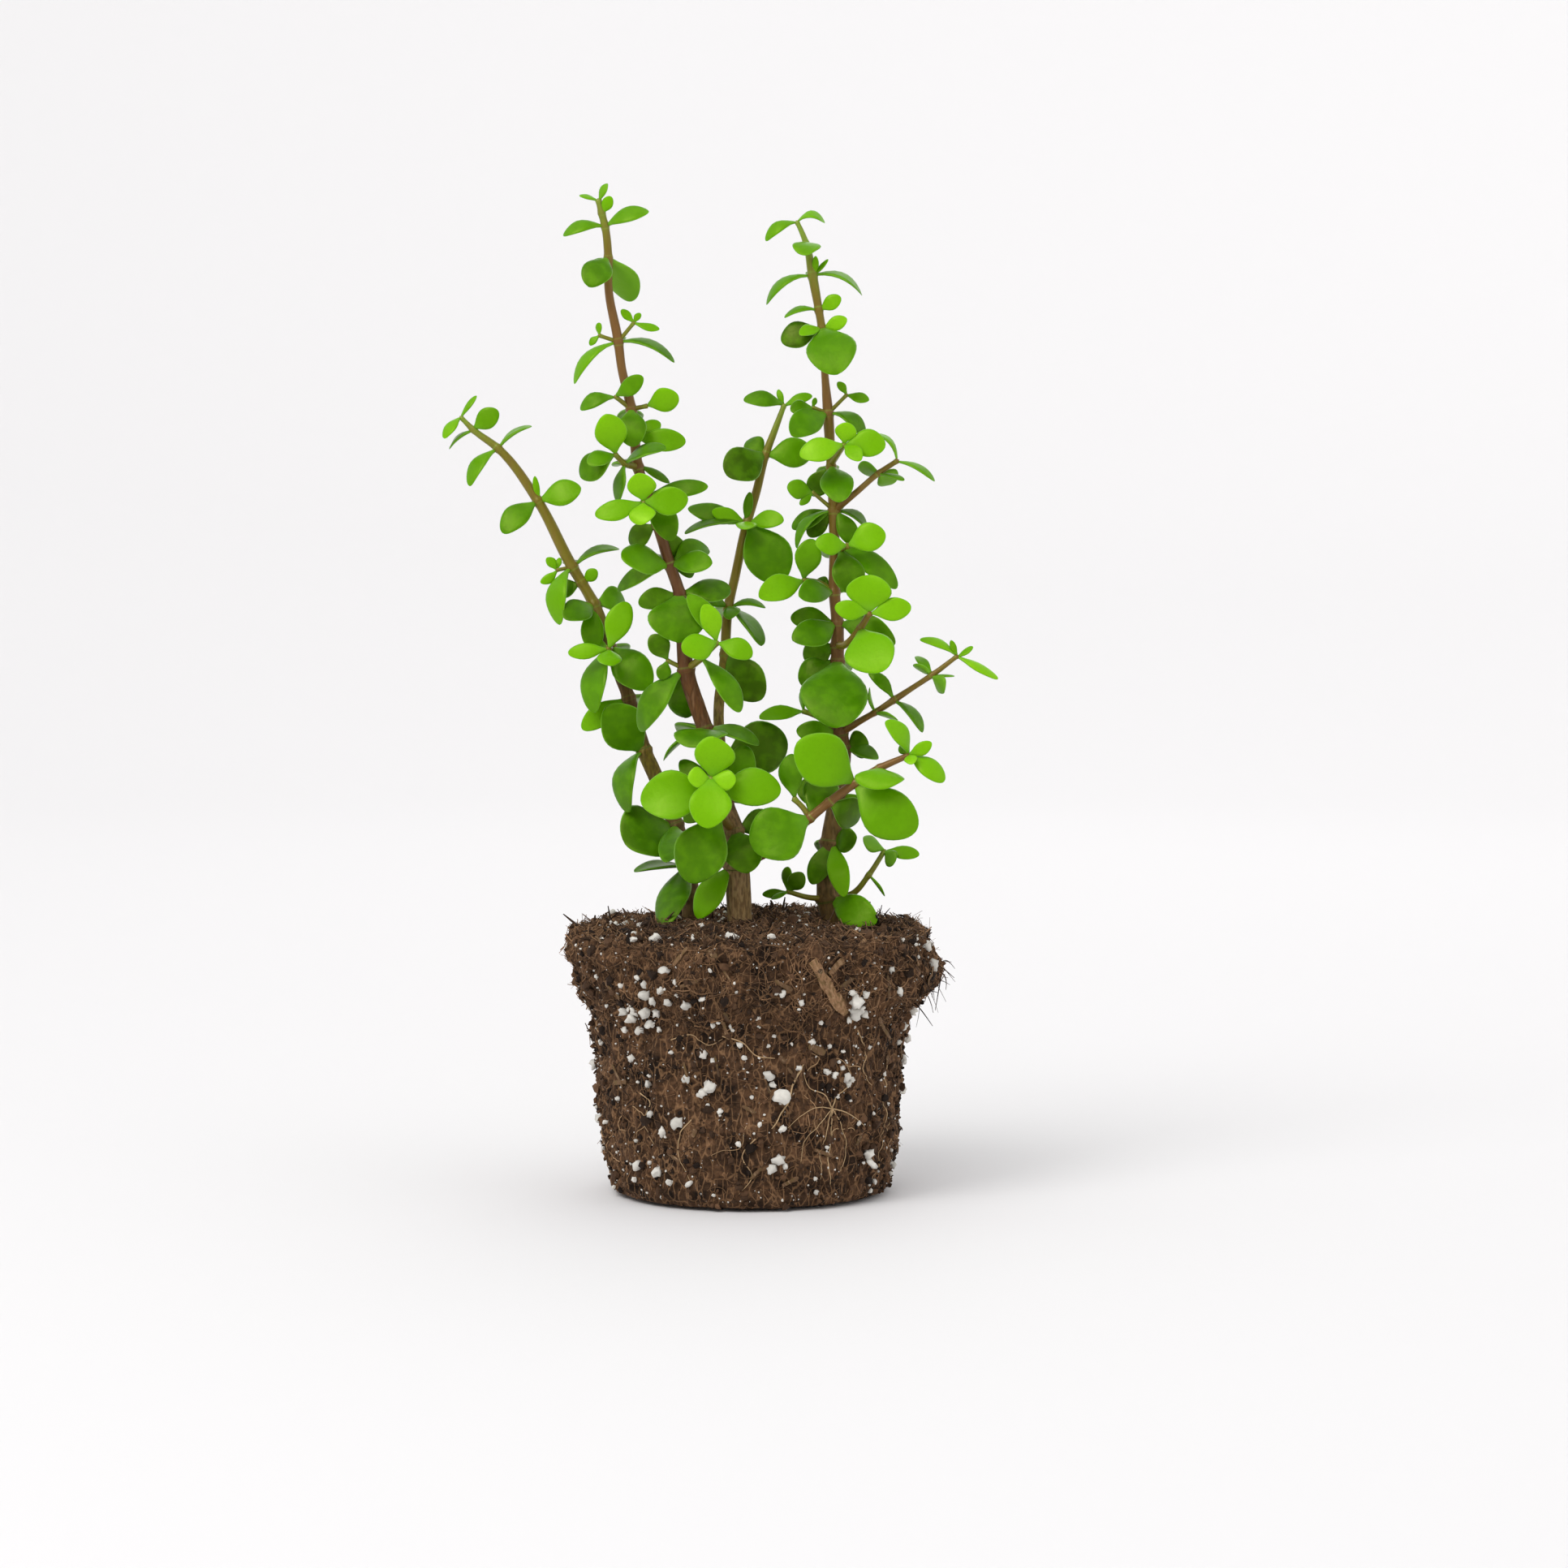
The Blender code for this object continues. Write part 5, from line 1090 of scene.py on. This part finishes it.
def blade_points(base, tip, width, face, bow, rng):
    """A fleshy leaf, lofted from base to tip.

    The centre line is base + D L t + U (4 b t (1-t) - c t^3) L, with D the way it points, L
    its length, U its upper face, b its bow and c its droop. The half width is
    W/2 sin(pi t^1.25)^(0.95 - 0.45 t), narrow at the foot and round at the tip. A ring is
    cos(v) half width to the side and sin(v)^0.8 half thickness up, fuller below, and its
    edges rise by the cup times cos(v)^2, with a slight ripple. The rings turn by a twist
    along the leaf.
    """
    sizes = bpy.context.scene.plant_sizes
    rings, around = (15, 16) if width > 6 else (11, 12)
    length = np.linalg.norm(tip - base)
    along = unit(tip - base)
    up = unit(face - along * (face @ along))
    side = np.cross(up, along)
    share = np.sin(np.linspace(0.02, 0.985, rings) * np.pi / 2)[:, None]
    angle = (np.arange(around) * 2 * np.pi / around)[None]
    sway = sizes.leaf_sway * rng.normal(size=5)
    half = width / 2 * np.sin(np.pi * share**1.25) ** (0.95 - 0.45 * share)
    half = np.hypot(half, max(0.07 * width, 0.45) * (1 - share))
    thick = min(sizes.leaf_thickness / MM, 0.16 * width + 0.5)
    depth = thick * (0.62 + 0.38 * np.sin(np.pi * share**0.8)) * np.sqrt(1 - share**6)
    x = np.cos(angle) * half
    rise = np.sign(np.sin(angle)) * np.abs(np.sin(angle)) ** 0.8
    z = rise * depth * np.where(rise > 0, 0.42, 0.58)
    z = z + (sizes.leaf_cup + 0.06 * sway[0]) * np.cos(angle) ** 2 * half
    ripple = 0.025 * width * np.sin(3 * np.pi * share + sway[1])
    z = z + ripple * np.cos(angle) * np.abs(np.cos(angle)) * share
    turn = 0.16 * sway[2] * (share - 0.3)
    x, z = x * np.cos(turn) - z * np.sin(turn), x * np.sin(turn) + z * np.cos(turn)
    sag = 4 * bow * share * (1 - share) - 0.035 * (0.6 + sway[3]) * share**3
    bend = 0.03 * sway[4] * length * np.sin(np.pi * share)
    points = (base + (share * length)[..., None] * along + (sag * length + z)[..., None] * up
              + (x + bend)[..., None] * side)
    foot = base - along * 0.2
    end = base + along * length - up * (0.035 * (0.6 + sway[3]) * length)
    points = np.concatenate([points.reshape(-1, 3), foot[None], end[None]])
    layer = np.stack(np.broadcast_arrays(
        0.0, np.abs(np.cos(angle)) * np.ones_like(share), 0.5 + 0.5 * np.sin(angle), share), -1)
    layer = np.concatenate([layer.reshape(-1, 4), [(0, 0, 0.5, 0), (0, 1, 0.5, 1)]])
    return points, *tube_faces(1, rings, around), layer


def leaf_of(name, number, row, rng):
    """One planned leaf as points, faces and its blade layer with its tone filled in."""
    place, tip, width, face, bow = row
    route = planned_route(name)
    before, after = route[max(place - 1, 0), :3], route[min(place + 1, len(route) - 1), :3]
    axis = unit(after - before)
    base, radius = route[place, :3], route[place, 3]
    tip = leant(name, tip)
    out = unit((tip - base) - axis * ((tip - base) @ axis))
    base = base + out * (0.45 * radius)
    face = np.array(face, float) + rng.normal(0, 0.07, 3)
    face[1] -= LEAF_OPENING if face[1] < 0.1 else 0
    points, quads, fans, layer = blade_points(base, tip, width * LEAF_FULLNESS, face, bow, rng)
    # the tone, partly painted shade and painted light, goes into the blade layer
    tone = int(TONES[name][number]) / 9
    layer[:, 0] = np.clip(tone + rng.normal(0, 0.025), 0, 1)
    return points, quads, fans, layer


def joined(parts):
    """Several meshes' points, quads, triangles and layers as one mesh's."""
    shift = np.cumsum([0, *(len(part[0]) for part in parts)])
    points = np.concatenate([part[0] for part in parts])
    quads = np.concatenate([part[1] + at for part, at in zip(parts, shift)])
    fans = np.concatenate([part[2] + at for part, at in zip(parts, shift)])
    layers = [np.concatenate([part[3][k] for part in parts]) for k in range(len(parts[0][3]))]
    return points, quads, fans, layers


def bark_tint(stops, height):
    """Bark colour by height: straight mixes between the named tints' stops."""
    tints = bpy.context.scene.plant_colours
    marks = [stop[0] for stop in stops]
    colours = np.array([getattr(tints, "bark_" + stop[1])[:] for stop in stops])
    return np.stack([np.interp(height, marks, colours[:, k]) for k in range(3)], -1)


def make_stones(name, centres, sizes, jag, seed, surface, tints, fine=False, smooth=False):
    """Rough stones on the ball as one piece, with a tint for each, kept above the base."""
    points, faces, each = lumps(centres, sizes, jag, seed, fine)
    points[:, 2] = np.maximum(points[:, 2], 0.05)
    make_piece(name, points, np.empty((0, 4), int), faces, surface, "soil", smooth=smooth,
               tint=np.repeat(tints, each))


def make_threads(name, lines, wide, high, up, around, surface, tints, smooth=True):
    """Tubes on the ball as one piece, with a tint for each."""
    points, quads, fans = tubes(lines, wide, high, up, around)
    make_piece(name, points, quads, fans, surface, "soil", smooth=smooth,
               tint=per_tube(tints, lines.shape[1], around))


def stem_parts(route, places, stops, woody_below, seed):
    """A round stem along a route, swollen at its leaf nodes.

    The radius is the route's, times 1 + swell exp(-(d/0.9)^2) at a length d from a node,
    times 1 plus ridges of noise where the stem is woody. Layers: bark holds the tint and how
    woody it is, grain holds a place that runs four times slower along the stem, and scar is
    exp(-((|d| - 0.9)/0.3)^2), a thin ring on each side of a node.
    """
    sizes = bpy.context.scene.plant_sizes
    rows, at, marks = smooth_rows(route, 0.7)
    around = 16 if rows[0, 3] > 1.5 else 10
    gap = at[:, None] - marks[list(places)][None]
    swell = sizes.node_swell * np.exp(-((gap / 0.9) ** 2)).max(axis=1)
    scar = np.exp(-(((np.abs(gap) - 0.9) / 0.3) ** 2)).max(axis=1)
    woody = np.clip((woody_below - rows[:, 2]) / 40, 0, 1)
    tilt = unit(rows[-1, :3] - rows[0, :3])
    up = np.eye(3)[np.argmin(np.abs(tilt))]
    radius = rows[:, 3] * (1 + swell)
    points, quads, fans = tubes(rows[None, :, :3], radius[None], radius[None], up, around)
    centre, woody, scar = (np.concatenate([np.repeat(values, around, axis=0), values[[0, -1]]])
                           for values in (rows[:, :3], woody, scar))
    ridge = 0.035 * noise(points * SLOW_ALONG, 1.1, seed)
    points = centre + (points - centre) * (1 + ridge * (0.25 + woody))[:, None]
    bark = np.concatenate([bark_tint(stops, points[:, 2]), woody[:, None]], axis=1)
    return points, quads, fans, {"bark": bark, "grain": points * SLOW_ALONG, "scar": scar}


def make_floor():
    """A pale floor that rises smoothly to a wall all round, as a sheet of rings."""
    floor, tree, shader = new_surface("pale_floor")
    set_inputs(tree, shader, Base_Color=FLOOR_COLOUR, Roughness=0.9)
    ring = np.linspace(0.02, FLOOR_RADIUS, FLOOR_RINGS)[None]
    turn = (np.arange(FLOOR_SIDES) * 2 * np.pi / FLOOR_SIDES)[:, None]
    rise = 0.3 * np.maximum(ring - 1.7, 0) ** 2 + 0 * turn
    sweep = np.stack([ring * np.cos(turn), ring * np.sin(turn), rise], -1).reshape(-1, 3)
    corner = np.arange(FLOOR_SIDES)[:, None] * FLOOR_RINGS + np.arange(FLOOR_RINGS - 1)[None]
    after = (corner + FLOOR_RINGS) % (FLOOR_SIDES * FLOOR_RINGS)
    quads = np.stack([corner, corner + 1, after + 1, after], -1).reshape(-1, 4)
    middle = [side * FLOOR_RINGS for side in range(FLOOR_SIDES)]
    mesh = bpy.data.meshes.new("floor")
    mesh.from_pydata(sweep.tolist(), [], [*quads.tolist(), middle])
    mesh.shade_smooth()
    mesh.materials.append(floor)
    ground = bpy.data.objects.new("floor", mesh)
    bpy.context.scene.collection.objects.link(ground)


def make_lamp(name, kind, place, way, **settings):
    """A lamp at a place that shines along a way."""
    lamp = bpy.data.lights.new(name, kind)
    for key, value in settings.items():
        setattr(lamp, key, value)
    thing = bpy.data.objects.new(name, lamp)
    thing.location = place
    thing.rotation_euler = Vector(way).to_track_quat("-Z", "Y").to_euler()
    bpy.context.scene.collection.objects.link(thing)


class PLANT_OT_stage(bpy.types.Operator):
    """Camera, pale floor and soft studio light"""

    bl_idname = "plant.stage"
    bl_label = "Stage"

    def execute(self, context):
        """Make the camera first, then the floor, the lamps and the sky."""
        lens = bpy.data.cameras.new("camera")
        lens.lens = CAMERA_LENS
        lens.sensor_width = 36
        camera = bpy.data.objects.new("camera", lens)
        camera.location = CAMERA_PLACE
        camera.rotation_euler = (math.radians(CAMERA_TILT), 0, 0)
        context.scene.collection.objects.link(camera)
        context.scene.camera = camera
        make_floor()
        for name, place, size, power in LAMPS:
            make_lamp(name, "AREA", place, Vector(LAMP_AIM) - Vector(place), size=size,
                      energy=power)
        make_lamp("softbox", "SUN", (0, 0, 0), SUN_WAY, energy=SUN_POWER,
                  angle=math.radians(SUN_SPREAD))
        world = bpy.data.worlds.new("studio")
        world.use_nodes = True
        set_inputs(world.node_tree, world.node_tree.nodes["Background"], Color=SKY_COLOUR,
                   Strength=SKY_POWER)
        context.scene.world = world
        context.scene.view_settings.view_transform = "Standard"
        return {"FINISHED"}


class PLANT_OT_soil(bpy.types.Operator):
    """The ball of peat and coir, with its rough skin"""

    bl_idname = "plant.soil"
    bl_label = "Soil"

    def execute(self, context):
        """Turn the outline on a grid of turns and lengths and roughen it."""
        _, _, marks = outline_smooth()
        turn = (np.arange(SKIN_TURNS) * 2 * np.pi / SKIN_TURNS - np.pi)[None]
        along = np.linspace(1.0, marks[-1] - 0.6, SKIN_RINGS)[:, None]
        points, _ = on_ball(*np.broadcast_arrays(turn, along), 0.0)
        ends = np.array([(0, 0, 0.3), (0, 0, 86.8)])
        points = np.concatenate([points.reshape(-1, 3), ends])
        quads, fans = tube_faces(1, SKIN_RINGS, SKIN_TURNS)
        make_piece("soil_ball", points, quads, fans,
                   surface_named("peat_and_coir", soil_surface), "soil", ("root_ball",))
        return {"FINISHED"}


class PLANT_OT_fibres(bpy.types.Operator):
    """Coir fibres matted over the ball, and the loose ones at its lip"""

    bl_idname = "plant.fibres"
    bl_label = "Fibres"

    def execute(self, context):
        """Lay strands on the side, the lip and the top, and hairs that stand off."""
        sizes = context.scene.ball_sizes
        tints = context.scene.plant_colours
        surface = surface_named("coir", tinted_surface, tints.fibre_dark, tints.fibre_light, 0.85)
        low, lip, rim = ball_length(2.0), ball_length(LIP_FOOT), ball_length(83.0)
        # Name, count, the lengths between which they start, length, the most that an end
        # lifts, seed, share of the fibre radius, and how much paler than the patches.
        layers = (
            ("fibres_side", sizes.fibres * 2 // 5, low, lip, 5.0, 0.5, 11, 0.7, -0.05),
            ("fibres_lip", sizes.fibres // 2, lip - 3, rim + 3, 7.0, 1.4, 12, 0.9, 0.1),
            ("fibres_top", sizes.fibres * 3 // 4, rim, top_length(3.0), 9.0, 2.8, 13, 0.95, 0.1),
            ("hairs_lip", 300, lip, rim + 3, 8.0, 4.5, 14, 0.75, 0.1),
            ("hairs_side", 220, low, lip, 6.0, 2.2, 15, 0.65, 0.1),
        )
        for name, count, start, end, length, loose, seed, thick, pale in layers:
            lines, out = strands(count, start, end, length, loose, seed)
            rng = np.random.default_rng(seed + 50)
            radius = sizes.fibre_radius / MM * thick * rng.lognormal(0, 0.35, (count, 1))
            radius = radius * np.linspace(1.15, 0.6, FIBRE_RINGS)
            make_threads(name, lines, radius, radius, out, FIBRE_SIDES, surface,
                         share_of(rng, lines[:, 3]) + pale)
        return {"FINISHED"}


class PLANT_OT_crumbs(bpy.types.Operator):
    """Loose crumbs of peat all over the ball"""

    bl_idname = "plant.crumbs"
    bl_label = "Crumbs"

    def execute(self, context):
        """Scatter rough stones, two fifths of them on the top, where they are larger."""
        count = context.scene.ball_sizes.crumbs
        rng = np.random.default_rng(21)
        top = count * 2 // 5
        places = (scatter(count - top, ball_length(1.4), ball_length(82.0), rng),
                  scatter(top, ball_length(TOP_EDGE), top_length(2.0), rng))
        size = np.concatenate([rng.lognormal(-0.05, 0.55, count - top),
                               rng.lognormal(0.2, 0.5, top)])
        centres, _ = on_ball(*np.concatenate(places, axis=1), 0.16 * size)
        make_stones("crumbs", centres, np.minimum(size, 3.8), 0.38, 22, crumb_surface(),
                    share_of(rng, centres))
        return {"FINISHED"}


class PLANT_OT_bits(bpy.types.Operator):
    """Dark woody bits that stand up from the soil's top, and fine ones that hang at the lip"""

    bl_idname = "plant.bits"
    bl_label = "Woody bits"

    def execute(self, context):
        """Carry a thin section along short lines that lean off the skin and bend."""
        rng = np.random.default_rng(45)
        count, hanging = TOP_BITS, HANGING_BITS
        total = count + hanging
        turn, along = scatter(count, ball_length(TOP_EDGE), top_length(8.0), rng)
        turn = np.concatenate([turn, rng.normal(0.0, 0.32, hanging)])
        under_lip = rng.uniform(ball_length(62.0), ball_length(74.0), hanging)
        foot, out = on_ball(turn, np.concatenate([along, under_lip]), 0.0)
        share = np.linspace(-0.25, 1, BIT_RINGS)[None, :, None]
        lean = unit(0.7 * out + rng.normal(0, 0.9, (total, 3)))
        length = np.concatenate([rng.uniform(1.5, 5.0, count), rng.uniform(2.5, 6, hanging)])
        fall = np.zeros((total, 3))
        fall[count:, 2] = -0.9
        curl = rng.normal(0, 0.5, (total, 3)) + fall
        path = lean[:, None] * share + curl[:, None] * share**2
        lines = foot[:, None] + path * length[:, None, None]
        lines[..., 2] = np.maximum(lines[..., 2], 1.0)
        thick = np.concatenate([rng.uniform(0.25, 0.95, count),
                                rng.uniform(0.14, 0.26, hanging)])
        thick = thick[:, None] * (1.15 - 0.75 * np.linspace(0, 1, BIT_RINGS) ** 2)
        across = np.cross(lean, (0.3, 0.8, 0.5))[:, None]
        make_threads("woody_bits", lines, thick, thick * 0.6, across, BIT_SIDES,
                     crumb_surface(), rng.uniform(0.0, 0.35, total), smooth=False)
        return {"FINISHED"}


class PLANT_OT_perlite(bpy.types.Operator):
    """White perlite grains: the placed ones and random specks"""

    bl_idname = "plant.perlite"
    bl_label = "Perlite"

    def execute(self, context):
        """Set each grain's middle off the skin by 0.15 and about a quarter of its size."""
        tints = context.scene.plant_colours
        surface = surface_named("perlite", tinted_surface, np.array(tints.perlite) * 0.72,
                                tints.perlite, 0.9)
        rng = np.random.default_rng(31)
        front = np.array(GRAINS)
        top = np.array(TOP_GRAINS)
        turn, along = front_place(front[:, 0], front[:, 1])
        extra_turn, extra_along = scatter(LOOSE_GRAINS, ball_length(4.0), top_length(4.0), rng)
        keep = np.sin(extra_turn) > -0.25
        turn = np.concatenate([turn, np.arctan2(top[:, 1], top[:, 0]), extra_turn[keep]])
        along = np.concatenate([along, top_length(np.hypot(top[:, 0], top[:, 1])),
                                extra_along[keep]])
        size = np.concatenate([front[:, 2], top[:, 2], rng.uniform(1.3, 3.4, keep.sum())])
        centres, _ = on_ball(turn, along, 0.15 + 0.22 * size)
        make_stones("perlite_grains", centres, size * 1.25, 0.42, 32, surface,
                    rng.uniform(0.2, 1, len(size)), fine=True, smooth=True)
        count = context.scene.ball_sizes.specks
        size = rng.lognormal(-0.45, 0.55, count)
        places = scatter(count, ball_length(3.0), top_length(4.0), rng)
        centres, _ = on_ball(*places, 0.15 + 0.25 * size)
        make_stones("perlite_specks", centres, size, 0.25, 33, surface,
                    rng.uniform(0, 1, count))
        return {"FINISHED"}


class PLANT_OT_chips(bpy.types.Operator):
    """Flat chips of bark pressed into the ball"""

    bl_idname = "plant.chips"
    bl_label = "Bark chips"

    def execute(self, context):
        """Carry a flat oval along each chip's line, halfway to straight, and scatter more."""
        rng = np.random.default_rng(41)
        x1, z1, x2, z2, width, tint = np.array(CHIPS).T[..., None]
        share = np.linspace(0, 1, CHIP_RINGS)[None]
        turn, along = front_place(x1 + (x2 - x1) * share, z1 + (z2 - z1) * share)
        extra_turn, extra_along = scatter(LOOSE_CHIPS, ball_length(6.0), top_length(6.0), rng)
        heading = rng.uniform(0, np.pi, (LOOSE_CHIPS, 1))
        length = rng.uniform(2.5, 8, (LOOSE_CHIPS, 1))
        turns = np.cos(heading) * length * (share - 0.5) / 50
        walk = np.sin(heading) * length * (share - 0.5)
        turn = np.concatenate([turn, extra_turn[:, None] + turns])
        along = np.concatenate([along, extra_along[:, None] + walk])
        width = np.concatenate([width, rng.uniform(0.7, 1.8, (LOOSE_CHIPS, 1))]) / 2
        lines, out = on_ball(turn, along, 0.8)
        straight = lines[:, :1] + (lines[:, -1:] - lines[:, :1]) * share[..., None]
        lines = lines + 0.5 * (straight - lines)
        wide = width * (1 - 0.35 * np.abs(2 * share - 1) ** 8)
        wide = wide * rng.uniform(0.72, 1.12, turn.shape)
        high = np.minimum(0.16 * wide, 0.25) + 0.12
        make_threads("bark_chips", lines, wide, high, out, CHIP_SIDES,
                     surface_named("bark_chip", chip_surface),
                     np.concatenate([tint[:, 0], rng.uniform(0.05, 0.55, LOOSE_CHIPS)]),
                     smooth=False)
        return {"FINISHED"}


class PLANT_OT_roots(bpy.types.Operator):
    """Fine living roots on the skin of the ball"""

    bl_idname = "plant.roots"
    bl_label = "Roots"

    def execute(self, context):
        """Lay the placed roots, and then random ones round the whole side."""
        tints = context.scene.plant_colours
        surface = surface_named("live_root", tinted_surface, tints.fibre_light, tints.root_pale,
                                0.7)
        share = np.linspace(0, 1, ROOT_RINGS)
        placed = []
        for row in ROOTS:
            rows, at, _ = smooth_rows([(x, 0, z) for x, z in row], 0.2)
            placed.append(front_place(*(np.interp(share, at / at[-1], rows[:, axis])
                                        for axis in (0, 2))))
        turns, lengths = zip(*placed)
        rng = np.random.default_rng(51)
        count = LOOSE_ROOTS
        turn, along = scatter(count, ball_length(8.0), ball_length(56.0), rng)
        heading = rng.uniform(0, 2 * np.pi, (count, 1)) + rng.normal(0, 2.2, (count, 1)) * share
        heading = heading + 0.5 * np.sin(9 * share + rng.uniform(0, 6, (count, 1)))
        step = rng.uniform(8, 26, (count, 1)) / ROOT_RINGS
        turns = np.concatenate([turns, turn[:, None] + np.cumsum(np.cos(heading) * step, 1) / 48])
        walk = along[:, None] + np.cumsum(np.sin(heading) * step, 1)
        walk = np.clip(walk, ball_length(3.0), ball_length(59.0))
        lines, out = on_ball(turns, np.concatenate([lengths, walk]), 0.25)
        thick = rng.uniform(0.11, 0.2, (len(turns), 1)) * np.linspace(1.1, 0.55, ROOT_RINGS)
        thick[: len(ROOTS)] *= 1.25
        thick[0] *= 1.6
        make_threads("roots", lines, thick, thick, out, ROOT_SIDES, surface,
                     np.linspace(0.9, 0.1, len(turns)))
        return {"FINISHED"}


class PLANT_OT_stems(bpy.types.Operator):
    """Every stem and shoot, swollen and scarred at its leaf nodes"""

    bl_idname = "plant.stems"
    bl_label = "Stems"

    def execute(self, context):
        """Join each stem's parts into one and carry a round section along it."""
        surface = surface_named("stem_bark", bark_surface)
        for seed, (name, (chain, stops)) in enumerate(BARK.items(), STEM_SEED):
            rows, places = [], []
            for part in chain:
                route = planned_route(part)
                skip = 1 if rows else 0
                places += [len(rows) - skip + row[0] for row in LEAVES[part] if row[0] >= skip]
                rows += list(route[skip:])
            places = sorted({min(place, len(rows) - 1) for place in places})
            slot = "old_stem"
            if name == "bark_back":      # starts inside the trunk
                rows.insert(0, rows[0] + (4, -4, -9, 0.2))
                places = [place + 1 for place in places]
                slot = "young_stem"
            *shape, layers = stem_parts(rows, places, stops, WOODY_BELOW, seed)
            make_piece(name, *shape, surface, slot, chain, **layers)
        for seed, name in enumerate(SHOOTS, SHOOT_SEED):
            rows = planned_route(name)
            places = sorted({row[0] for row in LEAVES[name]})
            foot, end = SHOOT_BARK.get(name, ("olive", "green"))
            stops = ((rows[:, 2].min() - 1, foot), (rows[:, 2].max() + 6, end))
            slot = "red_stem" if name == "branch_red" else "young_stem"
            *shape, layers = stem_parts(rows, places, stops, 0, seed)
            make_piece("bark_" + name, *shape, surface, slot, nodes_of(name), **layers)
        return {"FINISHED"}


class PLANT_OT_leaves(bpy.types.Operator):
    """Every leaf: the broad ones as pieces of their own, the rest by stem or shoot"""

    bl_idname = "plant.leaves"
    bl_label = "Leaves"

    def execute(self, context):
        """Loft each planned leaf and join the narrow ones of a stem."""
        surface = surface_named("waxy_leaf", leaf_surface)
        rng = np.random.default_rng(71)
        for name, rows in LEAVES.items():
            small = []
            for number, row in enumerate(rows):
                points, quads, fans, layer = leaf_of(name, number, row, rng)
                if row[2] >= OWN_LEAF_WIDTH:
                    node = f"leaf_{name}_{number + 1:02d}"
                    make_piece("broad_" + node, points, quads, fans, surface, "leaf", (node,),
                               blade=layer)
                else:
                    small.append((points, quads, fans, (layer,)))
            if small:
                points, quads, fans, (layer,) = joined(small)
                make_piece("leaves_" + name, points, quads, fans, surface, "leaf", blade=layer)
        return {"FINISHED"}


class PLANT_PT_panel(bpy.types.Panel):
    """The plant's sizes, colours and parts in the sidebar"""

    bl_idname = "PLANT_PT_panel"
    bl_label = "Jade plant"
    bl_space_type = "VIEW_3D"
    bl_region_type = "UI"
    bl_category = "Plant"

    def draw(self, context):
        """List the settings and then a button for each part."""
        for settings in (context.scene.plant_sizes, context.scene.ball_sizes,
                         context.scene.plant_colours):
            for key in settings.__annotations__:
                self.layout.prop(settings, key)
        for step in STEPS:
            self.layout.operator(step.bl_idname)


STEPS = (
    PLANT_OT_stage, PLANT_OT_soil, PLANT_OT_crumbs, PLANT_OT_fibres, PLANT_OT_chips,
    PLANT_OT_bits, PLANT_OT_perlite, PLANT_OT_roots, PLANT_OT_stems, PLANT_OT_leaves,
)
CLASSES = (PlantSizes, BallSizes, PlantColours, *STEPS, PLANT_PT_panel)


def register():
    """Register the classes and hang the settings on the scene."""
    for made in CLASSES:
        bpy.utils.register_class(made)
    bpy.types.Scene.plant_sizes = bpy.props.PointerProperty(type=PlantSizes)
    bpy.types.Scene.ball_sizes = bpy.props.PointerProperty(type=BallSizes)
    bpy.types.Scene.plant_colours = bpy.props.PointerProperty(type=PlantColours)


def unregister():
    """Take the settings and classes away again."""
    for key in ("plant_sizes", "ball_sizes", "plant_colours"):
        delattr(bpy.types.Scene, key)
    for made in reversed(CLASSES):
        bpy.utils.unregister_class(made)


def main():
    """Build everything in order."""
    register()
    bpy.ops.plant.stage()
    bpy.ops.plant.soil()
    bpy.ops.plant.crumbs()
    bpy.ops.plant.fibres()
    bpy.ops.plant.chips()
    bpy.ops.plant.bits()
    bpy.ops.plant.perlite()
    bpy.ops.plant.roots()
    bpy.ops.plant.stems()
    bpy.ops.plant.leaves()


if __name__ == "__main__":
    main()
